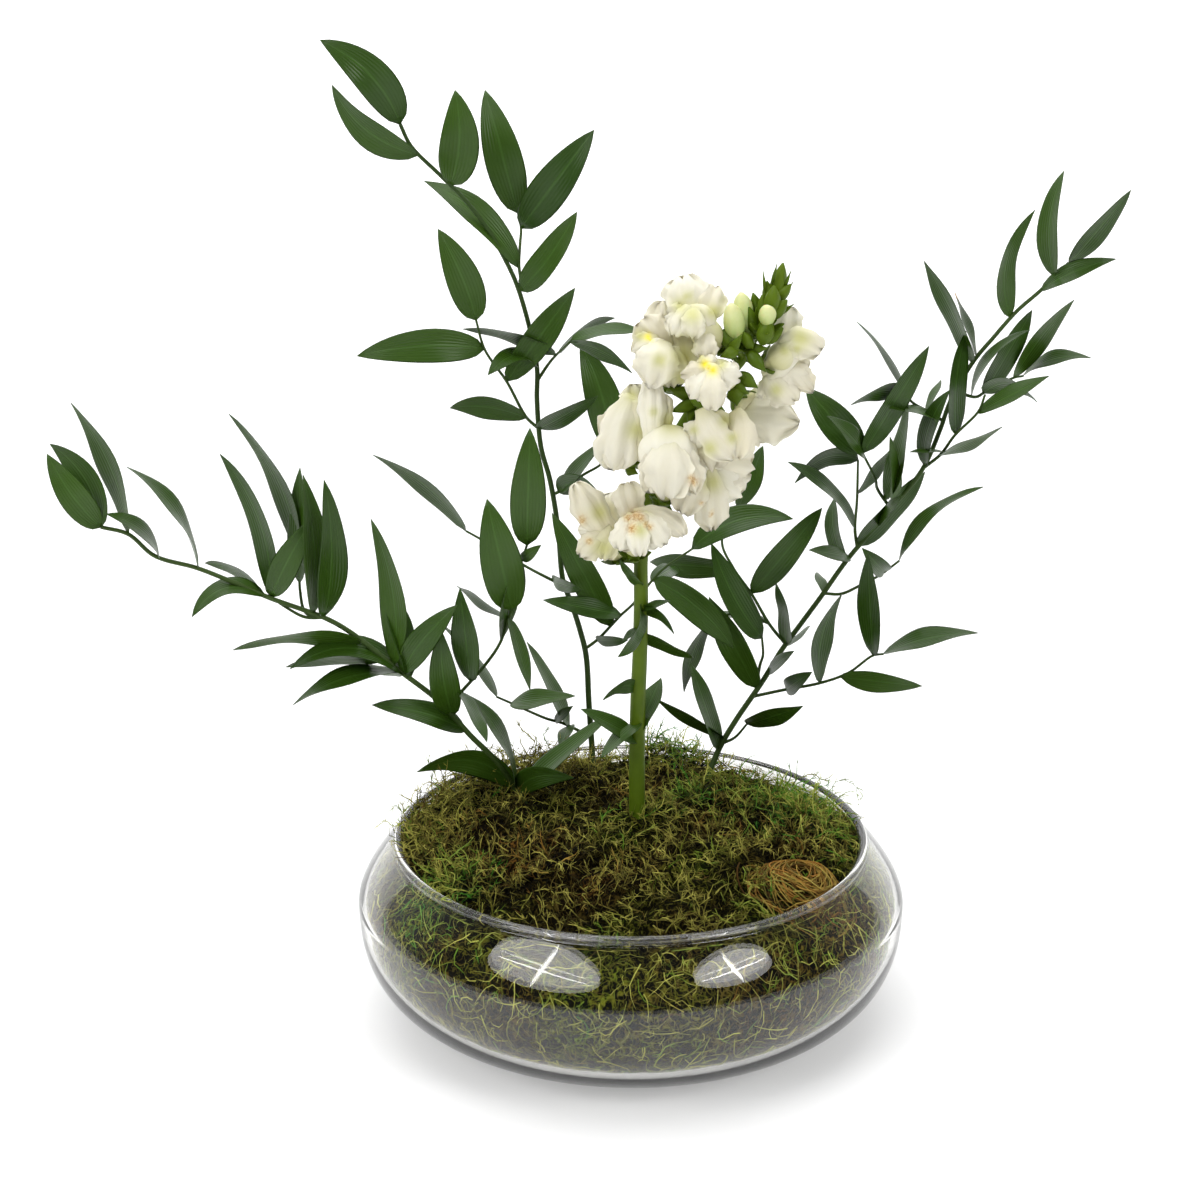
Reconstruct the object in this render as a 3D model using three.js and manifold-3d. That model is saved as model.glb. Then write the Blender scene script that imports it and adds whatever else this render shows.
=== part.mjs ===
// A floral table centerpiece: a low clear glass bowl packed with moss round a block of floral foam,
// three leafy branches of Italian ruscus and one stem of white snapdragon.
// Millimetres, +Z up. The origin is at the middle of the bowl's flat foot, and the front faces -Y.
import * as THREE from "three";
import { mergeVertices } from "three/addons/utils/BufferGeometryUtils.js";
import Module from "manifold-3d";

const wasm = await Module();
wasm.setup();

// Bowl: a 10 inch low bowl with its mouth drawn in and a thick flat bottom
const BOWL_RADIUS = 127;
const BOWL_HEIGHT = 84;
const BELLY_HEIGHT = 55;
const FOOT_RADIUS = 52;
const BOTTOM_THICKNESS = 5;
const WALL = 3;
const RIM_RADIUS = 108;
const RIM_BEAD = 2.4;
const BELLY_SQUARENESS = 2.7; // 2 is a plain ellipse, more is fuller
const SHOULDER_CURVE = 1.5;
const BOWL_SIDES = 32;
const SMALLEST_STEP = 0.08; // finer steps than this are smoothed away in every solid

// Foam and moss
const GAP = 0.35; // clear distance between two pieces that touch
const FOAM_RADIUS = 70;
const FOAM_HEIGHT = 58;
const FOAM_SEAT = 1.2; // it stands on the upward curve of the bottom
const FOAM_SIDES = 24;
const MOSS_HEIGHT = 90;
const MOSS_EDGE_RADIUS = 102;
const MOSS_LUMP = 3.2;

// Leaves and petals
const BLADE_THICKNESS = 0.7;
const STALK_WIDTH = 0.8;
const TIP_WIDTH = 0.6;
const LEAF_LEAST_LENGTH = 40;
const LEAF_SLENDERNESS = 0.3; // width over length of a leaf seen flat
const ROOT_PLACES = 120; // places along a stem where a leaf may spring
const LEAF_BULGE = 0.1; // rise of the middle over the length
const LEAF_ROWS = [0, 0.3, 0.66, 1];
const PETAL_THICKNESS = 0.8;
const PETAL_ROWS = [0, 1 / 3, 2 / 3, 1];
const CLAW_DEPTH = 3; // how far inside the mouth a petal springs

// Stems, from the thick end to the thin one
const STEM_SIDES = 4;
const STEM_STEP = 24;
const STEM_RADII = [1.5, 0.9];
const TWIG_SIDES = 3;
const TWIG_STEP = 14;
const TWIG_RADII = [0.95, 0.7];
const SNAPDRAGON_SIDES = 6;
const SNAPDRAGON_RADII = [3.9, 1.6];

// Blooms, their calyxes and the buds
const TUBE_SIDES = 6;
const TUBE_RADII = [3, 6.4, 6.6, 4.6];
const POUCH_ROWS = [0.03, 0.25, 0.5, 0.75, 0.97];
const POUCH_SIDES = 7;
const POUCH_DEPTH = 0.72; // front to back over side to side
const CALYX_LENGTH = 4;
const CALYX_STALK = [1.2, 1.7];
const SEPALS = 3;
const SEPAL_REACH = 8.5;
const SEPAL_RISE = 3;
const CUP_RADIUS = 3.2;
const CUP_DEPTH = 0.8;
const BUD_RADII = [2.2, 3.8, 4.6, 4.2, 3, 1.2];
const GREEN_BUD_SIDES = 5;
const GREEN_BUD_SHAPE = [0.2, 0.75, 0.97, 0.12];

// The places of stems, leaves and petals are read from a straight view of the object in a square
// picture, and set at a depth (the part's Y) of their own. This is the eye of that view.
const VIEW_DISTANCE = 1200;
const VIEW_PITCH = THREE.MathUtils.degToRad(19.1);
const VIEW_FOCUS = 2661; // picture steps for a slope of one
const VIEW_CENTRE = 600; // picture steps from the corner to the middle
const VIEW_TARGET = new THREE.Vector3(-14.3, 0, 198.7);
const VIEW_RIGHT = new THREE.Vector3(1, 0, 0);
const VIEW_AHEAD = new THREE.Vector3(0, Math.cos(VIEW_PITCH), -Math.sin(VIEW_PITCH));
const VIEW_UP = new THREE.Vector3(0, Math.sin(VIEW_PITCH), Math.cos(VIEW_PITCH));
const EYE = VIEW_TARGET.clone().addScaledVector(VIEW_AHEAD, -VIEW_DISTANCE);

// The point of the object that shows at a place in the picture, at a given depth.
function seen([across, down], depth) {
  const ray = VIEW_AHEAD.clone()
    .addScaledVector(VIEW_RIGHT, (across - VIEW_CENTRE) / VIEW_FOCUS)
    .addScaledVector(VIEW_UP, (VIEW_CENTRE - down) / VIEW_FOCUS);
  return EYE.clone().addScaledVector(ray, (depth - EYE.y) / ray.y);
}

// Where a point of the object shows in the picture.
function shown(point) {
  const from = point.clone().sub(EYE);
  const ahead = from.dot(VIEW_AHEAD);
  return [
    VIEW_CENTRE + (VIEW_FOCUS * from.dot(VIEW_RIGHT)) / ahead,
    VIEW_CENTRE - (VIEW_FOCUS * from.dot(VIEW_UP)) / ahead,
  ];
}

// Millimetres that one picture step covers at a point.
function stepSize(point) {
  return point.clone().sub(EYE).dot(VIEW_AHEAD) / VIEW_FOCUS;
}

function pictureDistance(a, b) {
  return Math.hypot(a[0] - b[0], a[1] - b[1]);
}

function geometryOf(points, triangles) {
  const geometry = new THREE.BufferGeometry().setFromPoints(points);
  geometry.setIndex(triangles);
  return geometry;
}

// A closed skin round a stack of rings that hold the same number of points, anticlockwise from ahead.
function loft(rings) {
  const sides = rings[0].length;
  const triangles = [];
  for (let i = 0; i + 1 < rings.length; i++) {
    for (let j = 0; j < sides; j++) {
      const a = i * sides + j;
      const b = i * sides + ((j + 1) % sides);
      triangles.push(a, b, b + sides, a, b + sides, a + sides);
    }
  }
  const last = (rings.length - 1) * sides;
  for (let low = 0, high = sides - 1; high - low >= 2; ) {
    triangles.push(low, high, low + 1);
    triangles.push(last + low, last + low + 1, last + high);
    low += 1;
    if (high - low < 2) break;
    triangles.push(low, high, high - 1);
    triangles.push(last + low, last + high - 1, last + high);
    high -= 1;
  }
  return geometryOf(rings.flat(), triangles);
}

// A thin closed solid between an upper and a lower grid, both split into triangles alike.
function blade(upper, lower) {
  const rows = upper.length;
  const columns = upper[0].length;
  const under = rows * columns;
  const at = (i, j) => i * columns + j;
  const triangles = [];
  const wall = (a, b) => triangles.push(a, a + under, b + under, a, b + under, b);
  for (let i = 0; i + 1 < rows; i++) {
    for (let j = 0; j + 1 < columns; j++) {
      const [a, b, c, d] = [at(i, j), at(i, j + 1), at(i + 1, j + 1), at(i + 1, j)];
      triangles.push(a, b, c, a, c, d);
      triangles.push(a + under, c + under, b + under, a + under, d + under, c + under);
    }
    wall(at(i + 1, 0), at(i, 0));
    wall(at(i, columns - 1), at(i + 1, columns - 1));
  }
  for (let j = 0; j + 1 < columns; j++) {
    wall(at(0, j), at(0, j + 1));
    wall(at(rows - 1, j + 1), at(rows - 1, j));
  }
  return geometryOf([...upper.flat(), ...lower.flat()], triangles);
}

// A closed geometry as a solid that can be joined and cut.
function solid(geometry) {
  geometry.deleteAttribute("normal");
  geometry.deleteAttribute("uv");
  const merged = mergeVertices(geometry, 1e-4);
  const made = new wasm.Manifold(
    new wasm.Mesh({
      numProp: 3,
      vertProperties: new Float32Array(merged.attributes.position.array),
      triVerts: new Uint32Array(merged.index.array),
    }),
  );
  return made.volume() < 0 ? solid(turnedOut(merged)) : made;
}

function turnedOut(geometry) {
  const index = Array.from(geometry.index.array);
  for (let i = 0; i < index.length; i += 3) {
    [index[i + 1], index[i + 2]] = [index[i + 2], index[i + 1]];
  }
  geometry.setIndex(index);
  return geometry;
}

function joined(solids) {
  return solids.reduce((whole, piece) => whole.add(piece));
}

function largestBody(whole) {
  return whole.decompose().reduce((a, b) => (b.volume() > a.volume() ? b : a));
}

// A solid without the slivers that cuts leave. The second pass closes what the first laid bare.
function smoothed(whole) {
  return largestBody(whole.asOriginal().simplify(SMALLEST_STEP)).simplify(SMALLEST_STEP);
}

function meshOf(name, whole, material) {
  const made = smoothed(whole).getMesh();
  const geometry = new THREE.BufferGeometry();
  geometry.setAttribute("position", new THREE.BufferAttribute(made.vertProperties, 3));
  geometry.setIndex(new THREE.BufferAttribute(made.triVerts, 1));
  geometry.computeVertexNormals();
  const mesh = new THREE.Mesh(geometry, material);
  mesh.name = name;
  return mesh;
}

// A round stalk along a curve, its radius going evenly from the first value to the second.
function stalk(curve, [thick, thin], sides, extra = 0) {
  const steps = curve.curves.length;
  const rings = [];
  for (let i = 0; i <= steps; i++) {
    const share = i / steps;
    const middle = curve.getPoint(share);
    const ahead = curve.getTangent(share);
    const side = new THREE.Vector3(0, 1, 0).cross(ahead).normalize();
    const back = ahead.clone().cross(side);
    const radius = THREE.MathUtils.lerp(thick, thin, share) + extra;
    const ring = [];
    for (let j = 0; j < sides; j++) {
      const angle = (2 * Math.PI * j) / sides;
      ring.push(
        middle
          .clone()
          .addScaledVector(side, radius * Math.cos(angle))
          .addScaledVector(back, radius * Math.sin(angle)),
      );
    }
    rings.push(ring);
  }
  return solid(loft(rings));
}

// A blade swept along a bent middle line. The outline gives the half width at each share of the way.
function sweptBlade(line, facing, shares, halfWidth, thickness) {
  const upper = [];
  const lower = [];
  for (const share of shares) {
    const middle = line.getPoint(share);
    const ahead = line.getTangent(share);
    const normal = facing.clone().addScaledVector(ahead, -facing.dot(ahead)).normalize();
    const across = ahead.clone().cross(normal);
    const half = halfWidth(share);
    const row = [-half, half].map((side) => middle.clone().addScaledVector(across, side));
    upper.push(row.map((point) => point.clone().addScaledVector(normal, thickness / 2)));
    lower.push(row.map((point) => point.clone().addScaledVector(normal, -thickness / 2)));
  }
  return solid(blade(upper, lower));
}

// Half the width of a pointed leaf, widest a little before its middle.
function leafOutline(width) {
  const widest = 0.6 / 1.45;
  const peak = widest ** 0.6 * (1 - widest) ** 0.85;
  return (share) => {
    const end = THREE.MathUtils.lerp(STALK_WIDTH, TIP_WIDTH, share) / 2;
    return Math.max(end, (width / 2 / peak) * share ** 0.6 * (1 - share) ** 0.85);
  };
}

// A leaf from the nearest stem to where its tip shows. It leans to or from the eye by what its
// real length lacks in the picture, and rolls by what its real width lacks.
function leaf(row, index, curves) {
  const root = nearestOn(curves, row.from);
  const scale = stepSize(root);
  const chord = pictureDistance(shown(root), row.to) * scale;
  const length = Math.max(1.04 * chord, row.length ?? LEAF_LEAST_LENGTH);
  const lean = Math.sqrt(length ** 2 - chord ** 2) * (row.towards ?? (index % 2 ? -0.8 : 0.8));
  const tip = seen(row.to, root.y - lean);
  const widthSeen = row.wide * scale;
  const width = Math.max(widthSeen, LEAF_SLENDERNESS * Math.min(length, 50));
  const roll = Math.acos(widthSeen / width) * (row.turn ?? (index % 2 ? -1 : 1));
  const ahead = tip.clone().sub(root).normalize();
  const toEye = EYE.clone().sub(root).normalize();
  const facing = toEye.addScaledVector(ahead, -toEye.dot(ahead)).normalize();
  const right = ahead.clone().cross(facing);
  const middle = root
    .clone()
    .lerp(tip, 0.5)
    .addScaledVector(right, 2 * (row.arch ?? 0) * scale)
    .addScaledVector(facing, 2 * LEAF_BULGE * length * Math.cos(roll));
  const line = new THREE.QuadraticBezierCurve3(root, middle, tip);
  const normal = facing
    .clone()
    .multiplyScalar(Math.cos(roll))
    .addScaledVector(right, Math.sin(roll));
  return sweptBlade(line, normal, LEAF_ROWS, leafOutline(width), BLADE_THICKNESS);
}

// The point of a set of curves that shows nearest to a place in the picture.
function nearestOn(curves, place) {
  let best = { distance: Infinity };
  for (const curve of curves) {
    for (const point of curve.getSpacedPoints(ROOT_PLACES)) {
      const distance = pictureDistance(shown(point), place);
      if (distance < best.distance) best = { distance, point };
    }
  }
  return best.point.clone();
}

// A smooth curve through places of the picture, its depth going evenly from the first to the last.
function curveThrough(places, [near, far], before = []) {
  const points = places.map((place, i) =>
    seen(place, THREE.MathUtils.lerp(near, far, i / (places.length - 1))),
  );
  return new THREE.CatmullRomCurve3([...before, ...points], false, "centripetal");
}

// The same curve in straight steps of about the given length.
function inSteps(curve, step) {
  const points = curve.getSpacedPoints(Math.ceil(curve.getLength() / step));
  const path = new THREE.CurvePath();
  for (let i = 1; i < points.length; i++) {
    path.add(new THREE.LineCurve3(points[i - 1], points[i]));
  }
  return path;
}

// The lines of a branch: its stem, from its buried end, and the twigs that fork from what is there.
function branchCurves(branch) {
  const curves = [inSteps(curveThrough(branch.stem, branch.depth, [branch.root]), STEM_STEP)];
  for (const twig of branch.twigs) {
    const fork = nearestOn(curves, twig.path[0]);
    const curve = curveThrough(twig.path.slice(1), [fork.y, fork.y - twig.lean], [fork]);
    curves.push(inSteps(curve, TWIG_STEP));
  }
  return curves;
}

function branchSolid(branch) {
  const curves = branchCurves(branch);
  const wood = curves.map((curve, i) =>
    i ? stalk(curve, TWIG_RADII, TWIG_SIDES) : stalk(curve, STEM_RADII, STEM_SIDES),
  );
  const blades = branch.leaves.map((row, i) => leaf(row, i, curves));
  return joined([...wood, ...blades]);
}

// What a stem of a branch needs clear round it in the moss and the foam.
function stemHole(branch) {
  return stalk(branchCurves(branch)[0], STEM_RADII, STEM_SIDES, GAP);
}

// The left branch, low and long
const LEFT = {
  root: new THREE.Vector3(-20, 22, 36),
  depth: [34, -22],
  stem: [
    [521, 797], [500, 765], [470, 735], [440, 702], [400, 671], [350, 632], [325, 618],
    [270, 598], [235, 583], [197, 568], [155, 556], [128, 534], [101, 527],
  ],
  twigs: [
    { path: [[465, 693], [485, 665], [500, 643], [508, 620], [512, 610]], lean: 8 },
    { path: [[512, 610], [516, 580], [527, 545]], lean: 4 },
    { path: [[322, 626], [306, 613], [300, 590], [300, 562]], lean: -6 },
    { path: [[322, 626], [305, 617], [284, 606], [271, 597]], lean: 3 },
  ],
  leaves: [
    { from: [101, 527], to: [47, 454], wide: 28, towards: 0.5 },
    { from: [102, 527], to: [50, 444], wide: 26, towards: -0.6, arch: 8 },
    { from: [157, 556], to: [106, 514], wide: 14 },
    { from: [128, 531], to: [71, 403], wide: 17, towards: -0.5, arch: 8 },
    { from: [197, 568], to: [127, 467], wide: 10, towards: 0.6 },
    { from: [269, 588], to: [205, 563], wide: 9 },
    { from: [262, 602], to: [192, 617], wide: 18, towards: 0.7, arch: 18 },
    { from: [271, 596], to: [220, 454], wide: 20, towards: -0.8 },
    { from: [271, 597], to: [312, 519], wide: 28, towards: 0.6 },
    { from: [300, 562], to: [229, 414], wide: 15, towards: -0.9 },
    { from: [316, 612], to: [303, 475], wide: 25, towards: 0.4 },
    { from: [313, 583], to: [300, 468], wide: 20, towards: -0.7 },
    { from: [323, 622], to: [324, 480], wide: 28, towards: 0.9, arch: 8 },
    { from: [360, 645], to: [233, 650], wide: 13, towards: 0.5 },
    { from: [400, 683], to: [290, 669], wide: 22, towards: 0.8, arch: 20 },
    { from: [378, 670], to: [286, 667], wide: 12, towards: -0.4 },
    { from: [403, 670], to: [293, 705], wide: 16, towards: 0.9 },
    { from: [405, 664], to: [360, 663], wide: 9, towards: -0.9 },
    { from: [405, 670], to: [457, 605], wide: 28, towards: 0.7 },
    { from: [406, 649], to: [371, 519], wide: 24, towards: -0.5 },
    { from: [430, 650], to: [380, 580], wide: 22, towards: -0.7 },
    { from: [469, 680], to: [460, 588], wide: 26, towards: 0.6 },
    { from: [458, 710], to: [441, 630], wide: 30, towards: 0.9 },
    { from: [495, 612], to: [457, 586], wide: 8 },
    { from: [464, 731], to: [372, 705], wide: 24, towards: 0.9 },
    { from: [463, 693], to: [487, 742], wide: 14, towards: 0.9 },
    { from: [519, 787], to: [466, 694], wide: 12, towards: 0.6, arch: 10 },
    { from: [520, 787], to: [417, 772], wide: 24, towards: 0.9, arch: 20 },
    { from: [524, 786], to: [574, 778], wide: 24, towards: 0.9, arch: -10 },
    { from: [528, 788], to: [612, 714], wide: 18, towards: 0.4 },
    { from: [508, 643], to: [515, 553], wide: 14, towards: 0.6 },
    { from: [512, 610], to: [487, 499], wide: 42, towards: 0.5 },
    { from: [527, 543], to: [530, 428], wide: 36, towards: 0.4 },
    { from: [510, 618], to: [530, 690], wide: 14, towards: 0.8 },
  ],
};

// The upright branch, standing at the back
const UPRIGHT = {
  root: new THREE.Vector3(-14, 44, 34),
  depth: [84, 96],
  stem: [
    [592, 748], [589, 705], [586, 655], [580, 630], [572, 605], [563, 580], [558, 528],
    [550, 480], [541, 447], [537, 400], [537, 368], [530, 330], [518, 288], [508, 265],
    [490, 233], [465, 200], [440, 175], [411, 146], [400, 124],
  ],
  twigs: [
    { path: [[520, 292], [521, 285], [519, 265], [520, 245], [521, 228], [518, 213]], lean: -18 },
    { path: [[537, 428], [527, 418], [507, 382], [485, 350], [476, 320]], lean: 26 },
    { path: [[537, 378], [550, 362], [570, 342]], lean: 20 },
    { path: [[567, 583], [540, 574], [527, 567], [484, 541], [466, 531]], lean: -8 },
    { path: [[586, 650], [597, 640], [620, 616], [633, 604], [661, 571], [692, 549]], lean: 36 },
    { path: [[553, 493], [562, 490], [583, 475], [600, 465], [612, 452]], lean: 6 },
    { path: [[589, 735], [565, 724], [545, 718], [511, 703], [497, 697]], lean: 16 },
  ],
  leaves: [
    { from: [400, 123], to: [320, 40], wide: 38, towards: 0.5, arch: 8 },
    { from: [417, 158], to: [332, 85], wide: 25, towards: -0.5 },
    { from: [452, 183], to: [455, 90], wide: 40, towards: 0.5 },
    { from: [517, 212], to: [485, 90], wide: 38, towards: -0.4 },
    { from: [524, 228], to: [594, 130], wide: 38, towards: 0.5 },
    { from: [526, 292], to: [577, 212], wide: 28, towards: 0.7 },
    { from: [519, 268], to: [424, 181], wide: 26, towards: -0.8 },
    { from: [476, 317], to: [438, 229], wide: 35, towards: 0.6 },
    { from: [485, 348], to: [357, 356], wide: 34, towards: 0.7 },
    { from: [527, 417], to: [450, 408], wide: 22, towards: -0.6 },
    { from: [508, 380], to: [575, 288], wide: 30, towards: -0.5 },
    { from: [553, 352], to: [463, 329], wide: 10, towards: 0.9 },
    { from: [538, 365], to: [488, 375], wide: 13, towards: 0.9, arch: 14 },
    { from: [570, 342], to: [643, 331], wide: 14, towards: -0.4 },
    { from: [570, 342], to: [632, 373], wide: 13, towards: 0.4 },
    { from: [612, 452], to: [580, 343], wide: 36, towards: -0.2 },
    { from: [541, 428], to: [598, 396], wide: 18, towards: 0.8 },
    { from: [559, 488], to: [603, 442], wide: 15, towards: 0.8 },
    { from: [557, 490], to: [605, 500], wide: 20, towards: 0.8, arch: -12 },
    { from: [465, 528], to: [373, 455], wide: 14, towards: 0.3, arch: 10 },
    { from: [555, 577], to: [582, 590], wide: 14, length: 30, towards: 0.9 },
    { from: [610, 625], to: [552, 513], wide: 30, towards: 0.3 },
    { from: [622, 615], to: [543, 600], wide: 20, towards: 0.6 },
    { from: [652, 582], to: [675, 567], wide: 18, length: 34, towards: -0.9 },
    { from: [655, 579], to: [733, 648], wide: 30, towards: 0.4 },
    { from: [692, 549], to: [793, 519], wide: 28, towards: 0.2, arch: -14 },
    { from: [570, 724], to: [527, 642], wide: 14, towards: 0.3 },
    { from: [511, 703], to: [575, 696], wide: 18, towards: 0.9 },
    { from: [570, 724], to: [560, 748], wide: 13, length: 28, towards: 0.9 },
    { from: [497, 697], to: [441, 624], wide: 9, towards: 0.1, arch: 8 },
  ],
};

// The right branch, rising and spreading
const RIGHT = {
  root: new THREE.Vector3(12, 30, 36),
  depth: [65, 94],
  stem: [
    [713, 763], [721, 745], [736, 720], [764, 679], [781, 651], [800, 625], [820, 598],
    [847, 560], [888, 512], [922, 470], [940, 430], [950, 402], [973, 362], [993, 338],
    [1017, 311], [1040, 291], [1069, 263],
  ],
  twigs: [
    { path: [[724, 746], [734, 738], [747, 724]], lean: 5 },
    { path: [[755, 695], [783, 690], [820, 683], [848, 673], [872, 656], [883, 654]], lean: 30 },
    { path: [[757, 693], [760, 665], [763, 655], [762, 638]], lean: 4 },
    { path: [[783, 645], [770, 625], [751, 593], [734, 569], [722, 541], [738, 508]], lean: -22 },
    { path: [[765, 625], [740, 612], [710, 622]], lean: -2 },
    { path: [[858, 546], [855, 530], [857, 500], [858, 460]], lean: -20 },
    { path: [[884, 507], [878, 490], [875, 478], [862, 452]], lean: 18 },
    { path: [[823, 595], [840, 594], [859, 586], [880, 575], [899, 561]], lean: 24 },
    { path: [[922, 470], [940, 455], [955, 435], [978, 412], [985, 395]], lean: 20 },
    { path: [[962, 397], [975, 397], [985, 392], [1013, 378], [1023, 376]], lean: -14 },
    { path: [[938, 422], [925, 410], [912, 402], [905, 392]], lean: 16 },
  ],
  leaves: [
    { from: [747, 724], to: [803, 706], wide: 18, towards: 0.9 },
    { from: [883, 655], to: [978, 633], wide: 17, towards: 0.6 },
    { from: [842, 682], to: [922, 686], wide: 20, towards: 0.9 },
    { from: [871, 648], to: [868, 553], wide: 22, towards: 0.6 },
    { from: [820, 682], to: [842, 594], wide: 17, towards: -0.4 },
    { from: [786, 690], to: [812, 672], wide: 18, length: 30, towards: 0.9 },
    { from: [760, 638], to: [711, 543], wide: 28, towards: 0.4 },
    { from: [757, 688], to: [709, 597], wide: 28, towards: 0.2 },
    { from: [753, 592], to: [822, 508], wide: 28, towards: -0.7 },
    { from: [783, 645], to: [776, 583], wide: 12, towards: 0.8 },
    { from: [766, 624], to: [708, 613], wide: 9, towards: -0.6 },
    { from: [710, 622], to: [684, 692], wide: 14, towards: 0.4, arch: 6 },
    { from: [721, 748], to: [690, 663], wide: 18, towards: 0.1 },
    { from: [724, 738], to: [655, 698], wide: 10, towards: 0.3 },
    { from: [853, 528], to: [788, 462], wide: 14, towards: 0.7 },
    { from: [845, 562], to: [835, 497], wide: 16, towards: -0.8 },
    { from: [851, 555], to: [809, 550], wide: 14, length: 32, towards: 0.9 },
    { from: [899, 560], to: [983, 487], wide: 10, towards: 0.6, arch: -8 },
    { from: [858, 546], to: [925, 472], wide: 22, towards: -0.6 },
    { from: [878, 526], to: [903, 495], wide: 10, length: 28, towards: 0.9 },
    { from: [864, 494], to: [892, 448], wide: 10, length: 30, towards: -0.9 },
    { from: [884, 500], to: [908, 401], wide: 17, towards: 0.7 },
    { from: [893, 503], to: [890, 437], wide: 12, towards: 0.9 },
    { from: [864, 452], to: [806, 388], wide: 34, towards: -0.6 },
    { from: [868, 455], to: [827, 416], wide: 12, towards: 0.6 },
    { from: [859, 460], to: [795, 483], wide: 17, towards: 0.9, arch: 14 },
    { from: [864, 452], to: [929, 346], wide: 24, towards: -0.3 },
    { from: [908, 392], to: [851, 405], wide: 13, towards: 0.8, arch: 8 },
    { from: [934, 418], to: [888, 408], wide: 8, towards: 0.9 },
    { from: [924, 465], to: [950, 390], wide: 18, towards: 0.8 },
    { from: [952, 431], to: [966, 331], wide: 19, towards: -0.6 },
    { from: [973, 360], to: [924, 261], wide: 17, towards: 0.4 },
    { from: [1011, 315], to: [1035, 210], wide: 17, towards: 0.5, arch: -8 },
    { from: [1055, 277], to: [1064, 171], wide: 21, towards: -0.5 },
    { from: [1070, 263], to: [1131, 190], wide: 19, towards: 0.4 },
    { from: [1042, 289], to: [1116, 259], wide: 17, towards: 0.6 },
    { from: [983, 391], to: [1032, 310], wide: 22, towards: -0.6 },
    { from: [971, 397], to: [1030, 330], wide: 8, towards: 0.7 },
    { from: [1013, 377], to: [1074, 300], wide: 17, towards: -0.5 },
    { from: [1023, 376], to: [1091, 358], wide: 12, towards: 0.5, arch: -8 },
    { from: [982, 391], to: [1037, 402], wide: 12, towards: 0.9, arch: -14 },
    { from: [979, 414], to: [1049, 376], wide: 16, towards: 0.6 },
    { from: [940, 456], to: [1002, 427], wide: 9, towards: 0.7 },
    { from: [733, 568], to: [650, 562], wide: 24, length: 48, towards: -0.9 },
    { from: [738, 508], to: [763, 446], wide: 22, towards: -0.5 },
  ],
};

// The snapdragon: its green stem, and the leaves low on it
const SNAPDRAGON = {
  root: new THREE.Vector3(3, 2, 34),
  depth: [0, -8],
  stem: [
    [637, 838], [637, 750], [638, 700], [640, 650], [641, 600], [641, 560], [645, 520],
    [650, 495], [663, 465], [680, 430], [698, 403], [720, 382], [740, 362], [750, 345],
    [760, 325], [768, 303], [775, 284], [780, 272],
  ],
  twigs: [],
  leaves: [
    { from: [640, 635], to: [693, 658], wide: 12, towards: -0.4 },
    { from: [640, 732], to: [661, 678], wide: 20, towards: -0.6 },
    { from: [637, 738], to: [581, 709], wide: 18, towards: 0.6 },
    { from: [638, 690], to: [603, 700], wide: 12, length: 26, towards: 0.8, arch: 8 },
    { from: [640, 725], to: [601, 758], wide: 15, towards: 0.8 },
    { from: [641, 606], to: [618, 657], wide: 12, towards: 0.7, arch: -8 },
    { from: [641, 625], to: [622, 642], wide: 8, length: 18, towards: 0.8 },
    { from: [641, 608], to: [670, 601], wide: 8, length: 20, towards: 0.8 },
    { from: [641, 612], to: [674, 634], wide: 9, length: 28, towards: 0.8, arch: -8 },
    { from: [641, 585], to: [620, 560], wide: 10, length: 24, towards: 0.7 },
  ],
};

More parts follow.
